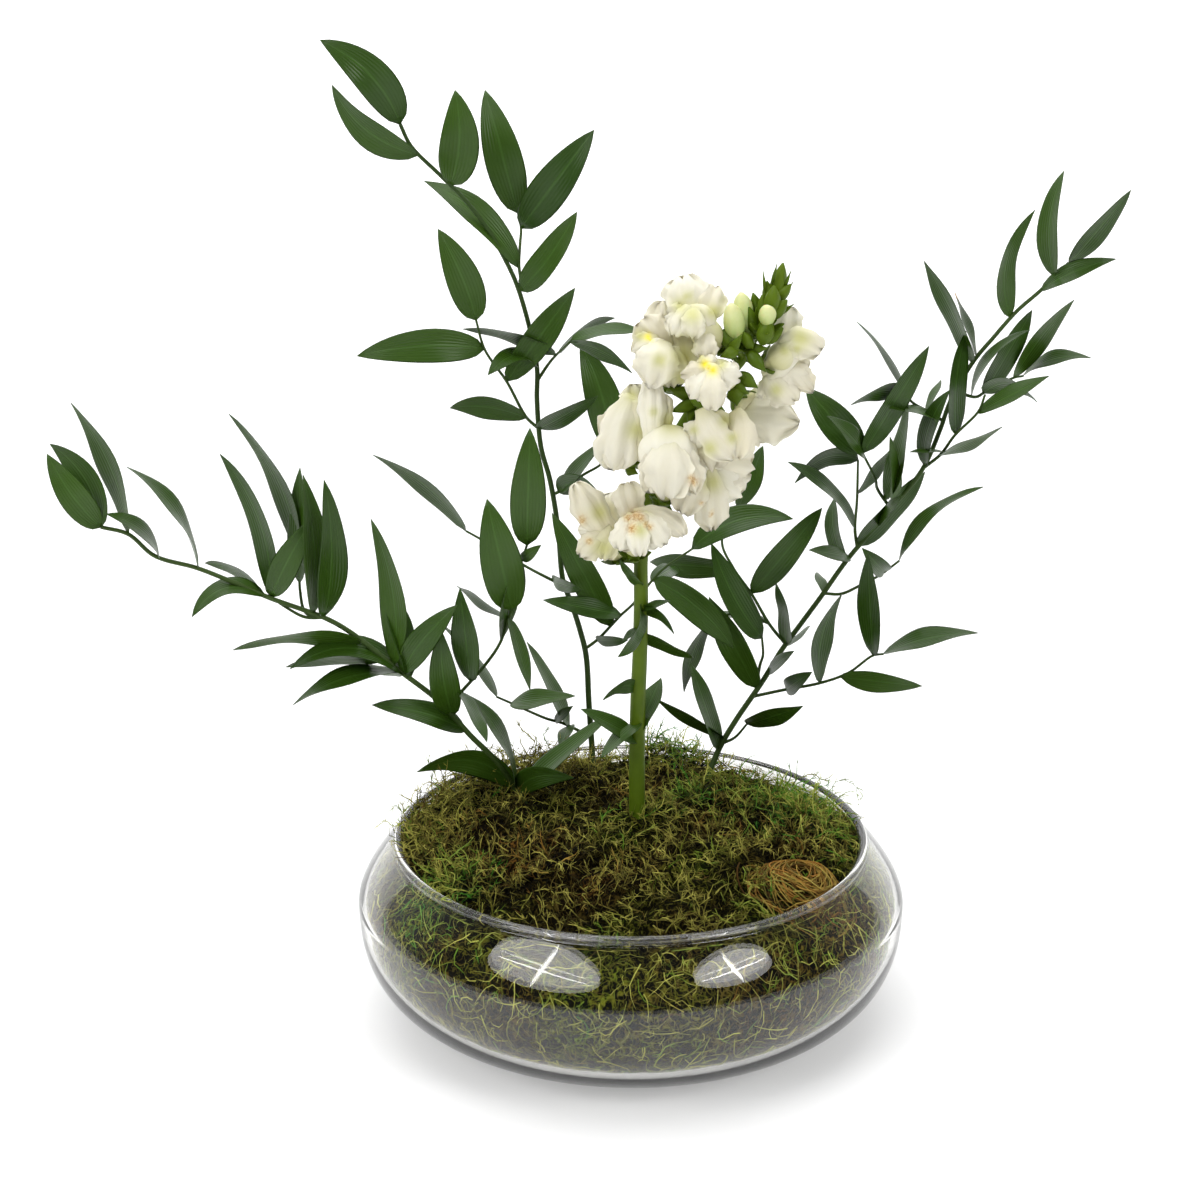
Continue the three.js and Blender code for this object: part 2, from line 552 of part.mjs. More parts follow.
// Blooms: where the green calyx holds the tube and where the mouth opens, then the petals and the
// swollen pouches of the lower lip from root to end. Each place has its depth, and each width is as
// it shows in the picture. A petal bulges to the eye.
const BLOOMS = {
  low_left: {
    calyx: [622, 561, -4],
    mouth: [600, 530, -14],
    petals: [
      { at: [614, 546, -10], to: [573, 481, -16], wide: 36, bulge: 3 },
      { at: [614, 538, -8], to: [605, 498, -4], wide: 34, bulge: -2 },
      { at: [602, 530, -12], to: [576, 529, -12], wide: 15 },
      { at: [606, 532, -14], to: [580, 557, -16], wide: 30, bulge: 3 },
      { at: [612, 530, -14], to: [604, 560, -18], wide: 26, bulge: 2 },
    ],
  },
  low_front: {
    calyx: [634, 557, -12],
    mouth: [637, 522, -28],
    petals: [
      { at: [634, 522, -22], to: [625, 479, -18], wide: 34, bulge: 3 },
      { at: [634, 514, -26], to: [686, 539, -24], wide: 24, arch: -9, bulge: 3 },
      { at: [634, 514, -30], to: [618, 553, -38], wide: 30, bulge: 3 },
      { at: [636, 514, -31], to: [640, 560, -42], wide: 24, bulge: 5 },
      { at: [640, 514, -30], to: [666, 548, -38], wide: 32, bulge: 4 },
    ],
    pouches: [
      { at: [632, 514, -32], to: [652, 542, -34], wide: 28 },
    ],
  },
  mid_left: {
    calyx: [634, 466, -6],
    mouth: [630, 428, -14],
    petals: [
      { at: [638, 424, -8], to: [632, 384, -4], wide: 30, bulge: 2 },
      { at: [634, 396, -14], to: [616, 477, -22], wide: 50, bulge: 7, arch: 4 },
      { at: [630, 406, -12], to: [602, 440, -16], wide: 34, bulge: 4 },
      { at: [636, 400, -16], to: [640, 462, -22], wide: 26, bulge: 4 },
    ],
    pouches: [
      { at: [624, 412, -16], to: [614, 470, -20], wide: 36 },
    ],
  },
  mid_front: {
    calyx: [664, 504, -14],
    mouth: [667, 446, -30],
    petals: [
      { at: [652, 446, -34], to: [652, 377, -30], wide: 29, bulge: 2 },
      { at: [664, 436, -30], to: [662, 392, -28], wide: 22, bulge: 2 },
      { at: [660, 440, -36], to: [652, 494, -42], wide: 34, bulge: 4 },
      { at: [668, 434, -36], to: [668, 500, -46], wide: 52, bulge: 6 },
      { at: [676, 440, -36], to: [694, 494, -42], wide: 36, bulge: 4 },
      { at: [680, 440, -32], to: [706, 476, -34], wide: 30, bulge: 3 },
    ],
    pouches: [
      { at: [668, 424, -32], to: [669, 488, -38], wide: 58 },
    ],
  },
  mid_right: {
    calyx: [682, 470, -2],
    mouth: [706, 470, -18],
    petals: [
      { at: [702, 468, -20], to: [758, 470, -14], wide: 46, bulge: 3, arch: -3 },
      { at: [706, 470, -22], to: [744, 498, -18], wide: 34, bulge: 2 },
      { at: [708, 468, -24], to: [713, 534, -22], wide: 38, bulge: 3 },
      { at: [698, 470, -26], to: [684, 513, -28], wide: 38, bulge: 3 },
      { at: [700, 462, -22], to: [716, 448, -22], wide: 40, bulge: 2 },
    ],
  },
  hooded: {
    calyx: [700, 412, -20],
    mouth: [716, 428, -34],
    petals: [
      { at: [702, 408, -36], to: [735, 461, -46], wide: 36, bulge: 4, arch: 4 },
      { at: [734, 410, -34], to: [737, 461, -44], wide: 30, bulge: 3, arch: -7 },
      { at: [716, 412, -34], to: [733, 440, -36], wide: 26, bulge: 2 },
      { at: [708, 420, -34], to: [690, 446, -36], wide: 34, bulge: 3 },
      { at: [712, 430, -34], to: [714, 466, -34], wide: 42, bulge: 4 },
    ],
  },
  right: {
    calyx: [733, 394, 8],
    mouth: [748, 408, 4],
    petals: [
      { at: [740, 414, 2], to: [799, 423, -4], wide: 50, bulge: 3 },
      { at: [742, 406, 6], to: [779, 392, 8], wide: 28, bulge: 2 },
      { at: [744, 412, 2], to: [762, 446, 0], wide: 30, bulge: 3 },
    ],
  },
  upper_left: {
    calyx: [672, 392, -14],
    mouth: [662, 350, -20],
    petals: [
      { at: [668, 350, -18], to: [640, 318, -18], wide: 40, bulge: 3 },
      { at: [664, 342, -14], to: [662, 300, -10], wide: 36, bulge: 2 },
      { at: [660, 340, -22], to: [632, 352, -24], wide: 30, bulge: 4 },
      { at: [662, 340, -24], to: [652, 385, -32], wide: 48, bulge: 6 },
      { at: [672, 346, -22], to: [672, 390, -26], wide: 34, bulge: 4 },
    ],
    pouches: [
      { at: [660, 338, -22], to: [650, 374, -26], wide: 40 },
    ],
  },
  top: {
    calyx: [722, 350, -12],
    mouth: [696, 322, -26],
    petals: [
      { at: [692, 326, -18], to: [681, 271, -12], wide: 46, bulge: 3 },
      { at: [700, 326, -18], to: [715, 282, -12], wide: 40, bulge: 3 },
      { at: [690, 322, -20], to: [662, 316, -20], wide: 34, bulge: 3 },
      { at: [700, 328, -20], to: [718, 322, -18], wide: 36, bulge: 3 },
      { at: [694, 318, -28], to: [674, 338, -30], wide: 26, bulge: 3 },
      { at: [702, 330, -26], to: [707, 360, -32], wide: 26, bulge: 4 },
    ],
    pouches: [
      { at: [690, 308, -24], to: [696, 340, -28], wide: 42 },
      { at: [695, 320, -32], to: [697, 342, -34], wide: 22 },
    ],
  },
  upper_front: {
    calyx: [734, 382, -16],
    mouth: [712, 370, -36],
    petals: [
      { at: [708, 372, -38], to: [704, 354, -36], wide: 24, bulge: 2 },
      { at: [710, 372, -40], to: [681, 376, -42], wide: 26, bulge: 4 },
      { at: [710, 372, -42], to: [690, 399, -46], wide: 28, bulge: 4 },
      { at: [711, 370, -42], to: [714, 410, -48], wide: 30, bulge: 5 },
      { at: [714, 372, -40], to: [741, 378, -38], wide: 30, bulge: 3 },
    ],
    pouches: [
      { at: [700, 368, -40], to: [722, 384, -42], wide: 26 },
    ],
  },
  upper_right: {
    calyx: [762, 368, -8],
    mouth: [794, 350, -14],
    petals: [
      { at: [784, 350, -8], to: [789, 306, -4], wide: 32, bulge: 2 },
      { at: [776, 362, -12], to: [824, 356, -18], wide: 34, arch: -15, bulge: 5 },
      { at: [772, 366, -12], to: [812, 372, -12], wide: 34, bulge: 2 },
      { at: [768, 372, -12], to: [797, 404, -10], wide: 40, bulge: 3 },
      { at: [786, 360, -12], to: [812, 390, -10], wide: 26, bulge: 3 },
      { at: [764, 378, -10], to: [776, 394, -8], wide: 34, bulge: 2 },
    ],
    pouches: [
      { at: [764, 378, -10], to: [800, 340, -16], wide: 28 },
    ],
  },
};

// A smooth closed lump along a curve, its radii given at even steps.
function lump(curve, radii, sides, extra = 0) {
  const rings = radii.map((radius, i) => {
    const share = i / (radii.length - 1);
    const ahead = curve.getTangent(share);
    const side = new THREE.Vector3(0.3, 1, 0.2).cross(ahead).normalize();
    const back = ahead.clone().cross(side);
    return Array.from({ length: sides }, (_, j) => {
      const angle = (2 * Math.PI * j) / sides;
      return curve
        .getPoint(share)
        .addScaledVector(side, (radius + extra) * Math.cos(angle))
        .addScaledVector(back, (radius + extra) * Math.sin(angle));
    });
  });
  return solid(loft(rings));
}

function bloomAxis(row) {
  const base = seen(row.calyx, row.calyx[2]);
  const mouth = seen(row.mouth, row.mouth[2]);
  return { base, mouth, ahead: mouth.clone().sub(base).normalize() };
}

// A petal from inside the mouth to the place of its root, and on over its bulge to its end.
function petal(row, { mouth, ahead }, extra) {
  const inner = mouth.clone().addScaledVector(ahead, -CLAW_DEPTH);
  const root = seen(row.at, row.at[2]);
  const tip = seen(row.to, row.to[2]);
  const scale = stepSize(tip);
  const along = tip.clone().sub(root).normalize();
  const toEye = EYE.clone().sub(root);
  const facing = toEye.addScaledVector(along, -toEye.dot(along)).normalize();
  const middle = root
    .clone()
    .lerp(tip, 0.55)
    .addScaledVector(facing, row.bulge ?? 2)
    .addScaledVector(along.clone().cross(facing), (row.arch ?? 0) * scale);
  const line = new THREE.CatmullRomCurve3([inner, root, middle, tip]);
  const half = (share) => (row.wide * scale * petalWidth(share)) / 2 + extra;
  return sweptBlade(line, facing, PETAL_ROWS, half, PETAL_THICKNESS + 2 * extra);
}

// Share of its full width that a petal has: a narrow claw, broadest past the middle, a blunt end.
function petalWidth(share) {
  return share < 0.6 ? 0.25 + 1.25 * share : 1 - 1.5 * (share - 0.6);
}

// A swollen pouch between two places, round across and a little flat to the eye.
function pouch(row, extra) {
  const root = seen(row.at, row.at[2]);
  const tip = seen(row.to, row.to[2]);
  const along = tip.clone().sub(root).normalize();
  const toEye = EYE.clone().sub(root);
  const facing = toEye.addScaledVector(along, -toEye.dot(along)).normalize();
  const right = along.clone().cross(facing);
  const rings = POUCH_ROWS.map((share) => {
    const swelling = Math.sqrt(1 - Math.abs(2 * share - 1) ** 2.4);
    const radius = (row.wide / 2) * stepSize(tip) * swelling + extra;
    return Array.from({ length: POUCH_SIDES }, (_, i) => {
      const angle = (2 * Math.PI * i) / POUCH_SIDES;
      return root
        .clone()
        .lerp(tip, share)
        .addScaledVector(right, radius * Math.cos(angle))
        .addScaledVector(facing, -POUCH_DEPTH * radius * Math.sin(angle));
    });
  });
  return solid(loft(rings));
}

function bloomSolid(row, extra = 0) {
  const axis = bloomAxis(row);
  const start = axis.base.clone().addScaledVector(axis.ahead, CALYX_LENGTH + GAP - extra);
  return joined([
    lump(new THREE.LineCurve3(start, axis.mouth), TUBE_RADII, TUBE_SIDES, extra),
    ...row.petals.map((one) => petal(one, axis, extra)),
    ...(row.pouches ?? []).map((one) => pouch(one, extra)),
  ]);
}

// The calyx: a green stalk from the stem, opening in a dished star of sepals that the tube stands in
function calyx(row, curves, extra = 0, shift = 0) {
  const { base, ahead } = bloomAxis(row);
  const stem = nearestOn(curves, row.calyx);
  const side = new THREE.Vector3(0.3, 1, 0.2).cross(ahead).normalize();
  const back = ahead.clone().cross(side);
  const ring = (middle, place) =>
    Array.from({ length: 2 * SEPALS }, (_, i) => {
      const angle = (Math.PI * i) / SEPALS;
      const [radius, rise] = place(i % 2 === 0);
      return middle
        .clone()
        .addScaledVector(ahead, rise + shift)
        .addScaledVector(side, (radius + extra) * Math.cos(angle))
        .addScaledVector(back, (radius + extra) * Math.sin(angle));
    });
  return solid(
    loft([
      ring(stem, () => [CALYX_STALK[0], 0]),
      ring(base, () => [CALYX_STALK[1], 0]),
      ring(base, (point) => [point ? SEPAL_REACH : CUP_RADIUS, CALYX_LENGTH + (point ? SEPAL_RISE : 0)]),
      ring(base, () => [0.5, CALYX_LENGTH - CUP_DEPTH]),
    ]),
  );
}

// The room that a calyx needs: the same star grown, a little before and a little behind its place.
function calyxRoom(row, curves) {
  return joined([-GAP, GAP].map((shift) => calyx(row, curves, GAP, shift)));
}

// Pale buds near the top, each standing on its own green calyx
const BUDS = {
  large: { calyx: [746, 344, -10], mouth: [741, 293, -16] },
  left: { calyx: [738, 352, -14], mouth: [731, 304, -24] },
  small: { calyx: [766, 330, -16], mouth: [768, 307, -26] },
};

function budSolid(row, extra = 0) {
  const { base, mouth, ahead } = bloomAxis(row);
  const start = base.clone().addScaledVector(ahead, CALYX_LENGTH + GAP - extra);
  const share = Math.min(1, start.distanceTo(mouth) / 20);
  const radii = BUD_RADII.map((radius) => radius * (0.55 + 0.45 * share));
  return lump(new THREE.LineCurve3(start, mouth), radii, TUBE_SIDES, extra);
}

// Green buds crowded round the tip of the stem, from foot to point, each with the depth of its foot
const GREEN_TIP = [
  { at: [775, 300], to: [783, 263], wide: 18, depth: -8 },
  { at: [769, 304], to: [767, 281], wide: 13, depth: -8 },
  { at: [771, 312], to: [774, 286], wide: 18, depth: -16 },
  { at: [776, 302], to: [791, 284], wide: 13, depth: -10 },
  { at: [760, 320], to: [753, 293], wide: 14, depth: -10 },
  { at: [764, 318], to: [762, 295], wide: 13, depth: -14 },
  { at: [770, 318], to: [787, 300], wide: 17, depth: -14 },
  { at: [756, 334], to: [747, 305], wide: 14, depth: -14 },
  { at: [762, 344], to: [770, 319], wide: 19, depth: -20 },
  { at: [764, 342], to: [783, 328], wide: 16, depth: -14 },
  { at: [752, 348], to: [743, 332], wide: 13, depth: -18 },
  { at: [760, 330], to: [776, 316], wide: 14, depth: -6 },
  { at: [757, 336], to: [757, 316], wide: 14, depth: -4 },
];

function greenBuds(curves, extra = 0) {
  return GREEN_TIP.map((row) => {
    const stem = nearestOn(curves, row.at);
    const root = seen(row.at, row.depth);
    const tip = seen(row.to, row.depth - 3);
    const line = new THREE.CatmullRomCurve3([stem, root, root.clone().lerp(tip, 0.5), tip]);
    const radii = GREEN_BUD_SHAPE.map((share) => (share * row.wide * stepSize(root)) / 2);
    return lump(line, radii, GREEN_BUD_SIDES, extra);
  });
}

function snapdragonStem() {
  const curves = branchCurves(SNAPDRAGON);
  const stem = stalk(curves[0], SNAPDRAGON_RADII, SNAPDRAGON_SIDES);
  const leaves = SNAPDRAGON.leaves.map((row, i) => leaf(row, i, curves));
  const cups = [...Object.values(BLOOMS), ...Object.values(BUDS)].map((row) => calyx(row, curves));
  return largestBody(joined([stem, ...leaves, ...cups, ...greenBuds(curves)]));
}

// The bowl's outer line from its foot to the lip, and the same line moved in by the wall.
function bowlLine(inset, floor) {
  const radius = BOWL_RADIUS - inset;
  const points = [];
  const steps = 6;
  for (let i = 0; i <= steps; i++) {
    const angle = (Math.PI / 2) * (i / steps);
    const out = Math.sin(angle) ** (2 / BELLY_SQUARENESS);
    const up = Math.cos(angle) ** (2 / BELLY_SQUARENESS);
    const height = BELLY_HEIGHT - (BELLY_HEIGHT - floor) * up;
    points.push([FOOT_RADIUS + (radius - FOOT_RADIUS) * out, height]);
  }
  const top = BOWL_HEIGHT - RIM_BEAD;
  const mouth = RIM_RADIUS + RIM_BEAD - 1 - inset;
  for (let i = 1; i <= 3; i++) {
    const share = i / 3;
    const height = BELLY_HEIGHT + (top - BELLY_HEIGHT) * share;
    points.push([radius - (radius - mouth) * share ** SHOULDER_CURVE, height]);
  }
  return points;
}

function lathe(points) {
  const geometry = new THREE.LatheGeometry(
    points.map(([radius, height]) => new THREE.Vector2(radius, height)),
    BOWL_SIDES,
  );
  return solid(geometry.rotateX(Math.PI / 2));
}

function glassBowl() {
  const outer = bowlLine(0, 0);
  const inner = bowlLine(WALL, BOTTOM_THICKNESS);
  const bead = [0.2, 0.5, 0.8].map((share) => {
    const angle = Math.PI * share;
    const height = BOWL_HEIGHT - RIM_BEAD + RIM_BEAD * Math.sin(angle);
    return [RIM_RADIUS + RIM_BEAD * Math.cos(angle), height];
  });
  return lathe([[0, 0], ...outer, ...bead, ...inner.reverse(), [0, BOTTOM_THICKNESS]]);
}

function foamBlock(extra) {
  const floor = BOTTOM_THICKNESS + (extra ? -4 : FOAM_SEAT);
  const top = BOTTOM_THICKNESS + FOAM_HEIGHT + extra;
  const radius = FOAM_RADIUS + extra;
  const block = new THREE.CylinderGeometry(radius, radius, top - floor, FOAM_SIDES);
  return solid(block.rotateX(Math.PI / 2).translate(0, 0, (top + floor) / 2));
}

// The height of the moss over a point, a low mound with soft tufts.
function mossTop(x, y) {
  const radius = Math.hypot(x, y);
  const tufts = Math.sin(x / 11 + 1) * Math.cos(y / 13) + 0.6 * Math.sin(x / 6 - y / 7);
  const fall = 12 * (radius / MOSS_EDGE_RADIUS) ** 4;
  return MOSS_HEIGHT - fall + MOSS_LUMP * tufts * (1 - 0.7 * (radius / MOSS_EDGE_RADIUS) ** 6);
}

function mossBed() {
  const wall = bowlLine(WALL + GAP, BOTTOM_THICKNESS + GAP).slice(0, -1);
  const rings = wall.map(([radius, height], row) =>
    mossRing((angle) => {
      const hollow = 1.3 * (1 + Math.sin(7 * angle + row * 1.9) * Math.sin(3 * angle - row));
      return [radius - hollow * Math.min(row / 2, 1), height];
    }),
  );
  for (const radius of [MOSS_EDGE_RADIUS, 88, 68, 46, 24, 8]) {
    const height = (angle) => mossTop(radius * Math.cos(angle), radius * Math.sin(angle));
    rings.push(mossRing((angle) => [radius, height(angle)]));
  }
  return solid(loft(rings));
}

function mossRing(place) {
  return Array.from({ length: BOWL_SIDES }, (_, i) => {
    const angle = (2 * Math.PI * i) / BOWL_SIDES;
    const [radius, height] = place(angle);
    return new THREE.Vector3(radius * Math.cos(angle), radius * Math.sin(angle), height);
  });
}

const glass = new THREE.MeshStandardMaterial({
  color: 0xe6eaf2,
  roughness: 0.03,
  metalness: 0,
  transparent: true,
  opacity: 0.35,
});
const moss = new THREE.MeshStandardMaterial({ color: 0x5f5a2a, roughness: 0.95, metalness: 0 });
const foam = new THREE.MeshStandardMaterial({ color: 0x2f5a2c, roughness: 0.9, metalness: 0 });
const ruscus = new THREE.MeshStandardMaterial({ color: 0x2e4a16, roughness: 0.35, metalness: 0 });
const green = new THREE.MeshStandardMaterial({ color: 0x6b8a2e, roughness: 0.45, metalness: 0 });
const white = new THREE.MeshStandardMaterial({ color: 0xf3f0e6, roughness: 0.6, metalness: 0 });
const pale = new THREE.MeshStandardMaterial({ color: 0xd9dc8c, roughness: 0.5, metalness: 0 });

function bloomMeshes() {
  const curves = branchCurves(SNAPDRAGON);
  const rows = [...Object.values(BLOOMS), ...Object.values(BUDS)];
  let taken = joined([
    stalk(curves[0], SNAPDRAGON_RADII, SNAPDRAGON_SIDES, GAP),
    ...rows.map((row) => calyxRoom(row, curves)),
    ...greenBuds(curves, GAP),
  ]);
  const meshes = [];
  const place = (name, make, row, material) => {
    meshes.push(meshOf(name, largestBody(make(row).subtract(taken)), material));
    taken = taken.add(make(row, GAP));
  };
  for (const [name, row] of Object.entries(BUDS)) {
    place(`bud_${name}`, budSolid, row, pale);
  }
  for (const [name, row] of Object.entries(BLOOMS)) {
    place(`bloom_${name}`, bloomSolid, row, white);
  }
  return meshes;
}

function centerpiece() {
  const holes = joined([
    ...[LEFT, UPRIGHT, RIGHT].map(stemHole),
    stalk(branchCurves(SNAPDRAGON)[0], SNAPDRAGON_RADII, SNAPDRAGON_SIDES, GAP),
  ]);
  const root = new THREE.Group();
  root.add(
    meshOf("glass_bowl", glassBowl(), glass),
    meshOf("floral_foam", foamBlock(0).subtract(holes), foam),
    meshOf("moss_bed", largestBody(mossBed().subtract(foamBlock(GAP)).subtract(holes)), moss),
    meshOf("ruscus_left", branchSolid(LEFT), ruscus),
    meshOf("ruscus_upright", branchSolid(UPRIGHT), ruscus),
    meshOf("ruscus_right", branchSolid(RIGHT), ruscus),
    meshOf("snapdragon_stem", snapdragonStem(), green),
    ...bloomMeshes(),
  );
  return root;
}

export default centerpiece();
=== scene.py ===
"""Floral table centerpiece: a low clear glass bowl of moss, three ruscus branches and a white snapdragon.

The surfaces are worked out in millimetres, in the frame of the CAD model: +Z up, the front facing -Y,
the origin at the middle of the bowl's foot. They become metres when a mesh is made.
"""

import math

import bpy
import numpy as np
from mathutils import Matrix


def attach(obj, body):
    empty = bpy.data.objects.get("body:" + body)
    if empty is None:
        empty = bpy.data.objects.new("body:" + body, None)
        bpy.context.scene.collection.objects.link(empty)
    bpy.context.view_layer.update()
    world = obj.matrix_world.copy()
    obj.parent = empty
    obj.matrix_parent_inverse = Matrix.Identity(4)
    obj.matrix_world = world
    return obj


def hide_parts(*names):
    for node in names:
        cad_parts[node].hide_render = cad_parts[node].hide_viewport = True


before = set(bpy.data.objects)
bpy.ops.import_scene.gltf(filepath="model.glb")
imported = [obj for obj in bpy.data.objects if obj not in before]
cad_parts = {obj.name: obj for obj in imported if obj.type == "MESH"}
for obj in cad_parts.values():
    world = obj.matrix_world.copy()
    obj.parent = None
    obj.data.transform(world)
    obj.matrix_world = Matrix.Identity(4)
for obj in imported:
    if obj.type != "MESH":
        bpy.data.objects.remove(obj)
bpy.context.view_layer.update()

MM = 0.001
SEED = 20

# The view that places in the picture are read in: a square picture of 1200 steps, and its eye
VIEW_DISTANCE = 1200
VIEW_PITCH = math.radians(19.1)
VIEW_FOCUS = 2661
VIEW_CENTRE = 600
VIEW_TARGET = np.array([-14.3, 0, 198.7])
VIEW_RIGHT = np.array([1.0, 0, 0])
VIEW_AHEAD = np.array([0, math.cos(VIEW_PITCH), -math.sin(VIEW_PITCH)])
VIEW_UP = np.array([0, math.sin(VIEW_PITCH), math.cos(VIEW_PITCH)])
EYE = VIEW_TARGET - VIEW_DISTANCE * VIEW_AHEAD
SENSOR_WIDTH = 36

# Room: how bright it is in front and behind, and how bright it looks where it shows past the floor
ROOM_FRONT = 0.06
ROOM_BACK = 0.6
ROOM_SEEN = 1.0

# Floor, in metres: flat from its front to its back, then curved up into a backdrop. It glows a little,
# more where it is far from the middle.
FLOOR_FRONT = -3.0
FLOOR_BACK = 2.2
FLOOR_CURVE = 1.5
BACKDROP_HEIGHT = 4.5
FLOOR_HALF_WIDTH = 5.0
FLOOR_GLOW_REACH = (1.0, 3.5)
FLOOR_GLOW = 0.31
FAR_FLOOR_GLOW = 0.85

# Soft lights, in metres. Two in front show in the glass, each with a bright cross of tubes, one is
# above, and one lights the backdrop.
LIGHTS = dict(
    left_light=dict(place=(-1.75, -1.9, 2.3), size=(2.7, 1.7), power=46),
    right_light=dict(place=(1.9, -1.7, 2.1), size=(1.8, 1.15), power=25),
    left_tube=dict(place=(-1.7, -1.82, 2.24), size=(2.2, 0.06), power=5),
    right_tube=dict(place=(1.84, -1.62, 2.04), size=(1.5, 0.05), power=4),
    left_bar=dict(place=(-1.72, -1.84, 2.26), size=(0.1, 1.5), power=5),
    right_bar=dict(place=(1.86, -1.64, 2.06), size=(0.08, 1.0), power=4),
    top_light=dict(place=(-0.2, 0.2, 2.6), size=(2.8, 2.8), power=48),
    back_light=dict(place=(0, 1.6, 3.0), size=(5.0, 2.0), power=44, target=(0, 3.6, 0.6)),
)

# Bowl. The glass holds back a share of the light that falls on it, and the rings are those in its foot.
GLASS_SHADE = 0.25
BOWL_RADIUS = 127
BOWL_HEIGHT = 84
BELLY_HEIGHT = 55
FOOT_RADIUS = 52
BOTTOM_THICKNESS = 5
WALL = 3
RIM_RADIUS = 108
RIM_BEAD = 2.4
BELLY_SQUARENESS = 2.7
SHOULDER_CURVE = 1.5
BOWL_SIDES = 128
FOOT_RINGS = (12, 32)

# Moss. The bed and the fronds by the glass end some points of the bowl's line below its lip.
GAP = 0.35
MOSS_HEIGHT = 90
MOSS_FALL = 12
MOSS_EDGE_RADIUS = 102
MOSS_LUMP = 3.2
MOSS_SIDES = 160
BED_BELOW_LIP = 8
FRONDS_BELOW_LIP = 3
FROND_WIDTH = 0.52
GLASS_FROND_WIDTH = 0.42
FROND_ROWS = 5
TOP_CURL = 0.5
GLASS_CURL = 0.6
MOSS_CLUMP = 5.2
BED_DEPTH = 3
# The depth below the top of the clumps at which the painted shade of the moss is full
HOLLOW_DEPTH = 5.8
TOP_FRONDS = 1950
GLASS_FRONDS = 3300
TOP_FROND_LENGTHS = (8, 18)
PATCH_FROND_LENGTHS = (9, 20)
GLASS_FROND_LENGTHS = (9, 26)
SPRIG_LENGTHS = (1.8, 4.6)
MOSS_TONE = 0.5
MOSS_TONE_WAVE = 0.17
COIR_THREADS = 240
COIR_WIDTH = 0.7

# Leaves
LEAF_THICKNESS = 0.45
STALK_WIDTH = 0.9
TIP_WIDTH = 0.3
LEAF_LEAST_LENGTH = 40
LEAF_SLACK = 1.04
LEAF_SLENDERNESS = 0.3
LEAF_SLENDER_LENGTH = 50
LEAF_SWELL = 0.6
LEAF_TAPER = 0.85
LEAF_BULGE = 0.1
LEAF_FOLD = 0.26
FOLD_SOFTNESS = 0.03
FOLD_DROP = 0.17
LEAF_LEAN = 0.8
LEAF_WAVES = 1.2
LEAF_WAVE_SIZES = (0.04, 0.16)
LEAF_ROWS = 16
LEAF_SIDES = 12
ROOT_PLACES = 120

# Stems
STEM_RADII = (1.5, 0.9)
TWIG_RADII = (0.85, 0.55)
SNAPDRAGON_RADII = (3.9, 1.6)
STEM_SIDES = 10

# Blooms and buds
PETAL_THICKNESS = 0.5
PETAL_ROWS = 22
PETAL_SIDES = 28
PETAL_RUFFLE = 0.2
PETAL_EDGE_WAVE = 0.16
PETAL_FINE_WAVE = 0.05
PETAL_RAG = 0.16
PETAL_CLAW = 0.45
TUBE_RADII = (3, 5.2, 6.4, 6.7, 6.5, 5.6, 4.6)
TUBE_HINT = (0.3, 1, 0.2)
TUBE_SIDES = 26
CALYX_LENGTH = 4
CALYX_STALK = (1.2, 1.7)
CALYX_STALK_SIDES = 8
CALYX_RADII = (1.7, 3.2, 3.6, 3.4, 2.2)
CALYX_SIDES = 12
SEPALS = 5
SEPAL_SIDES = 10
SEPAL_THICKNESS = 0.5
SEPAL_LENGTH = 8.5
SEPAL_WIDTH = 4.6
BUD_RADII = (1.6, 3.4, 4.4, 4.8, 4.9, 4.7, 4.2, 3.2, 1.0)
BUD_SIDES = 30
GREEN_BUD_SHAPE = (0.35, 0.8, 1.0, 0.97, 0.8, 0.5, 0.12)
GREEN_BUD_SIDES = 16
BRACT_SIDES = 12
SNAPDRAGON_SIDES = 18

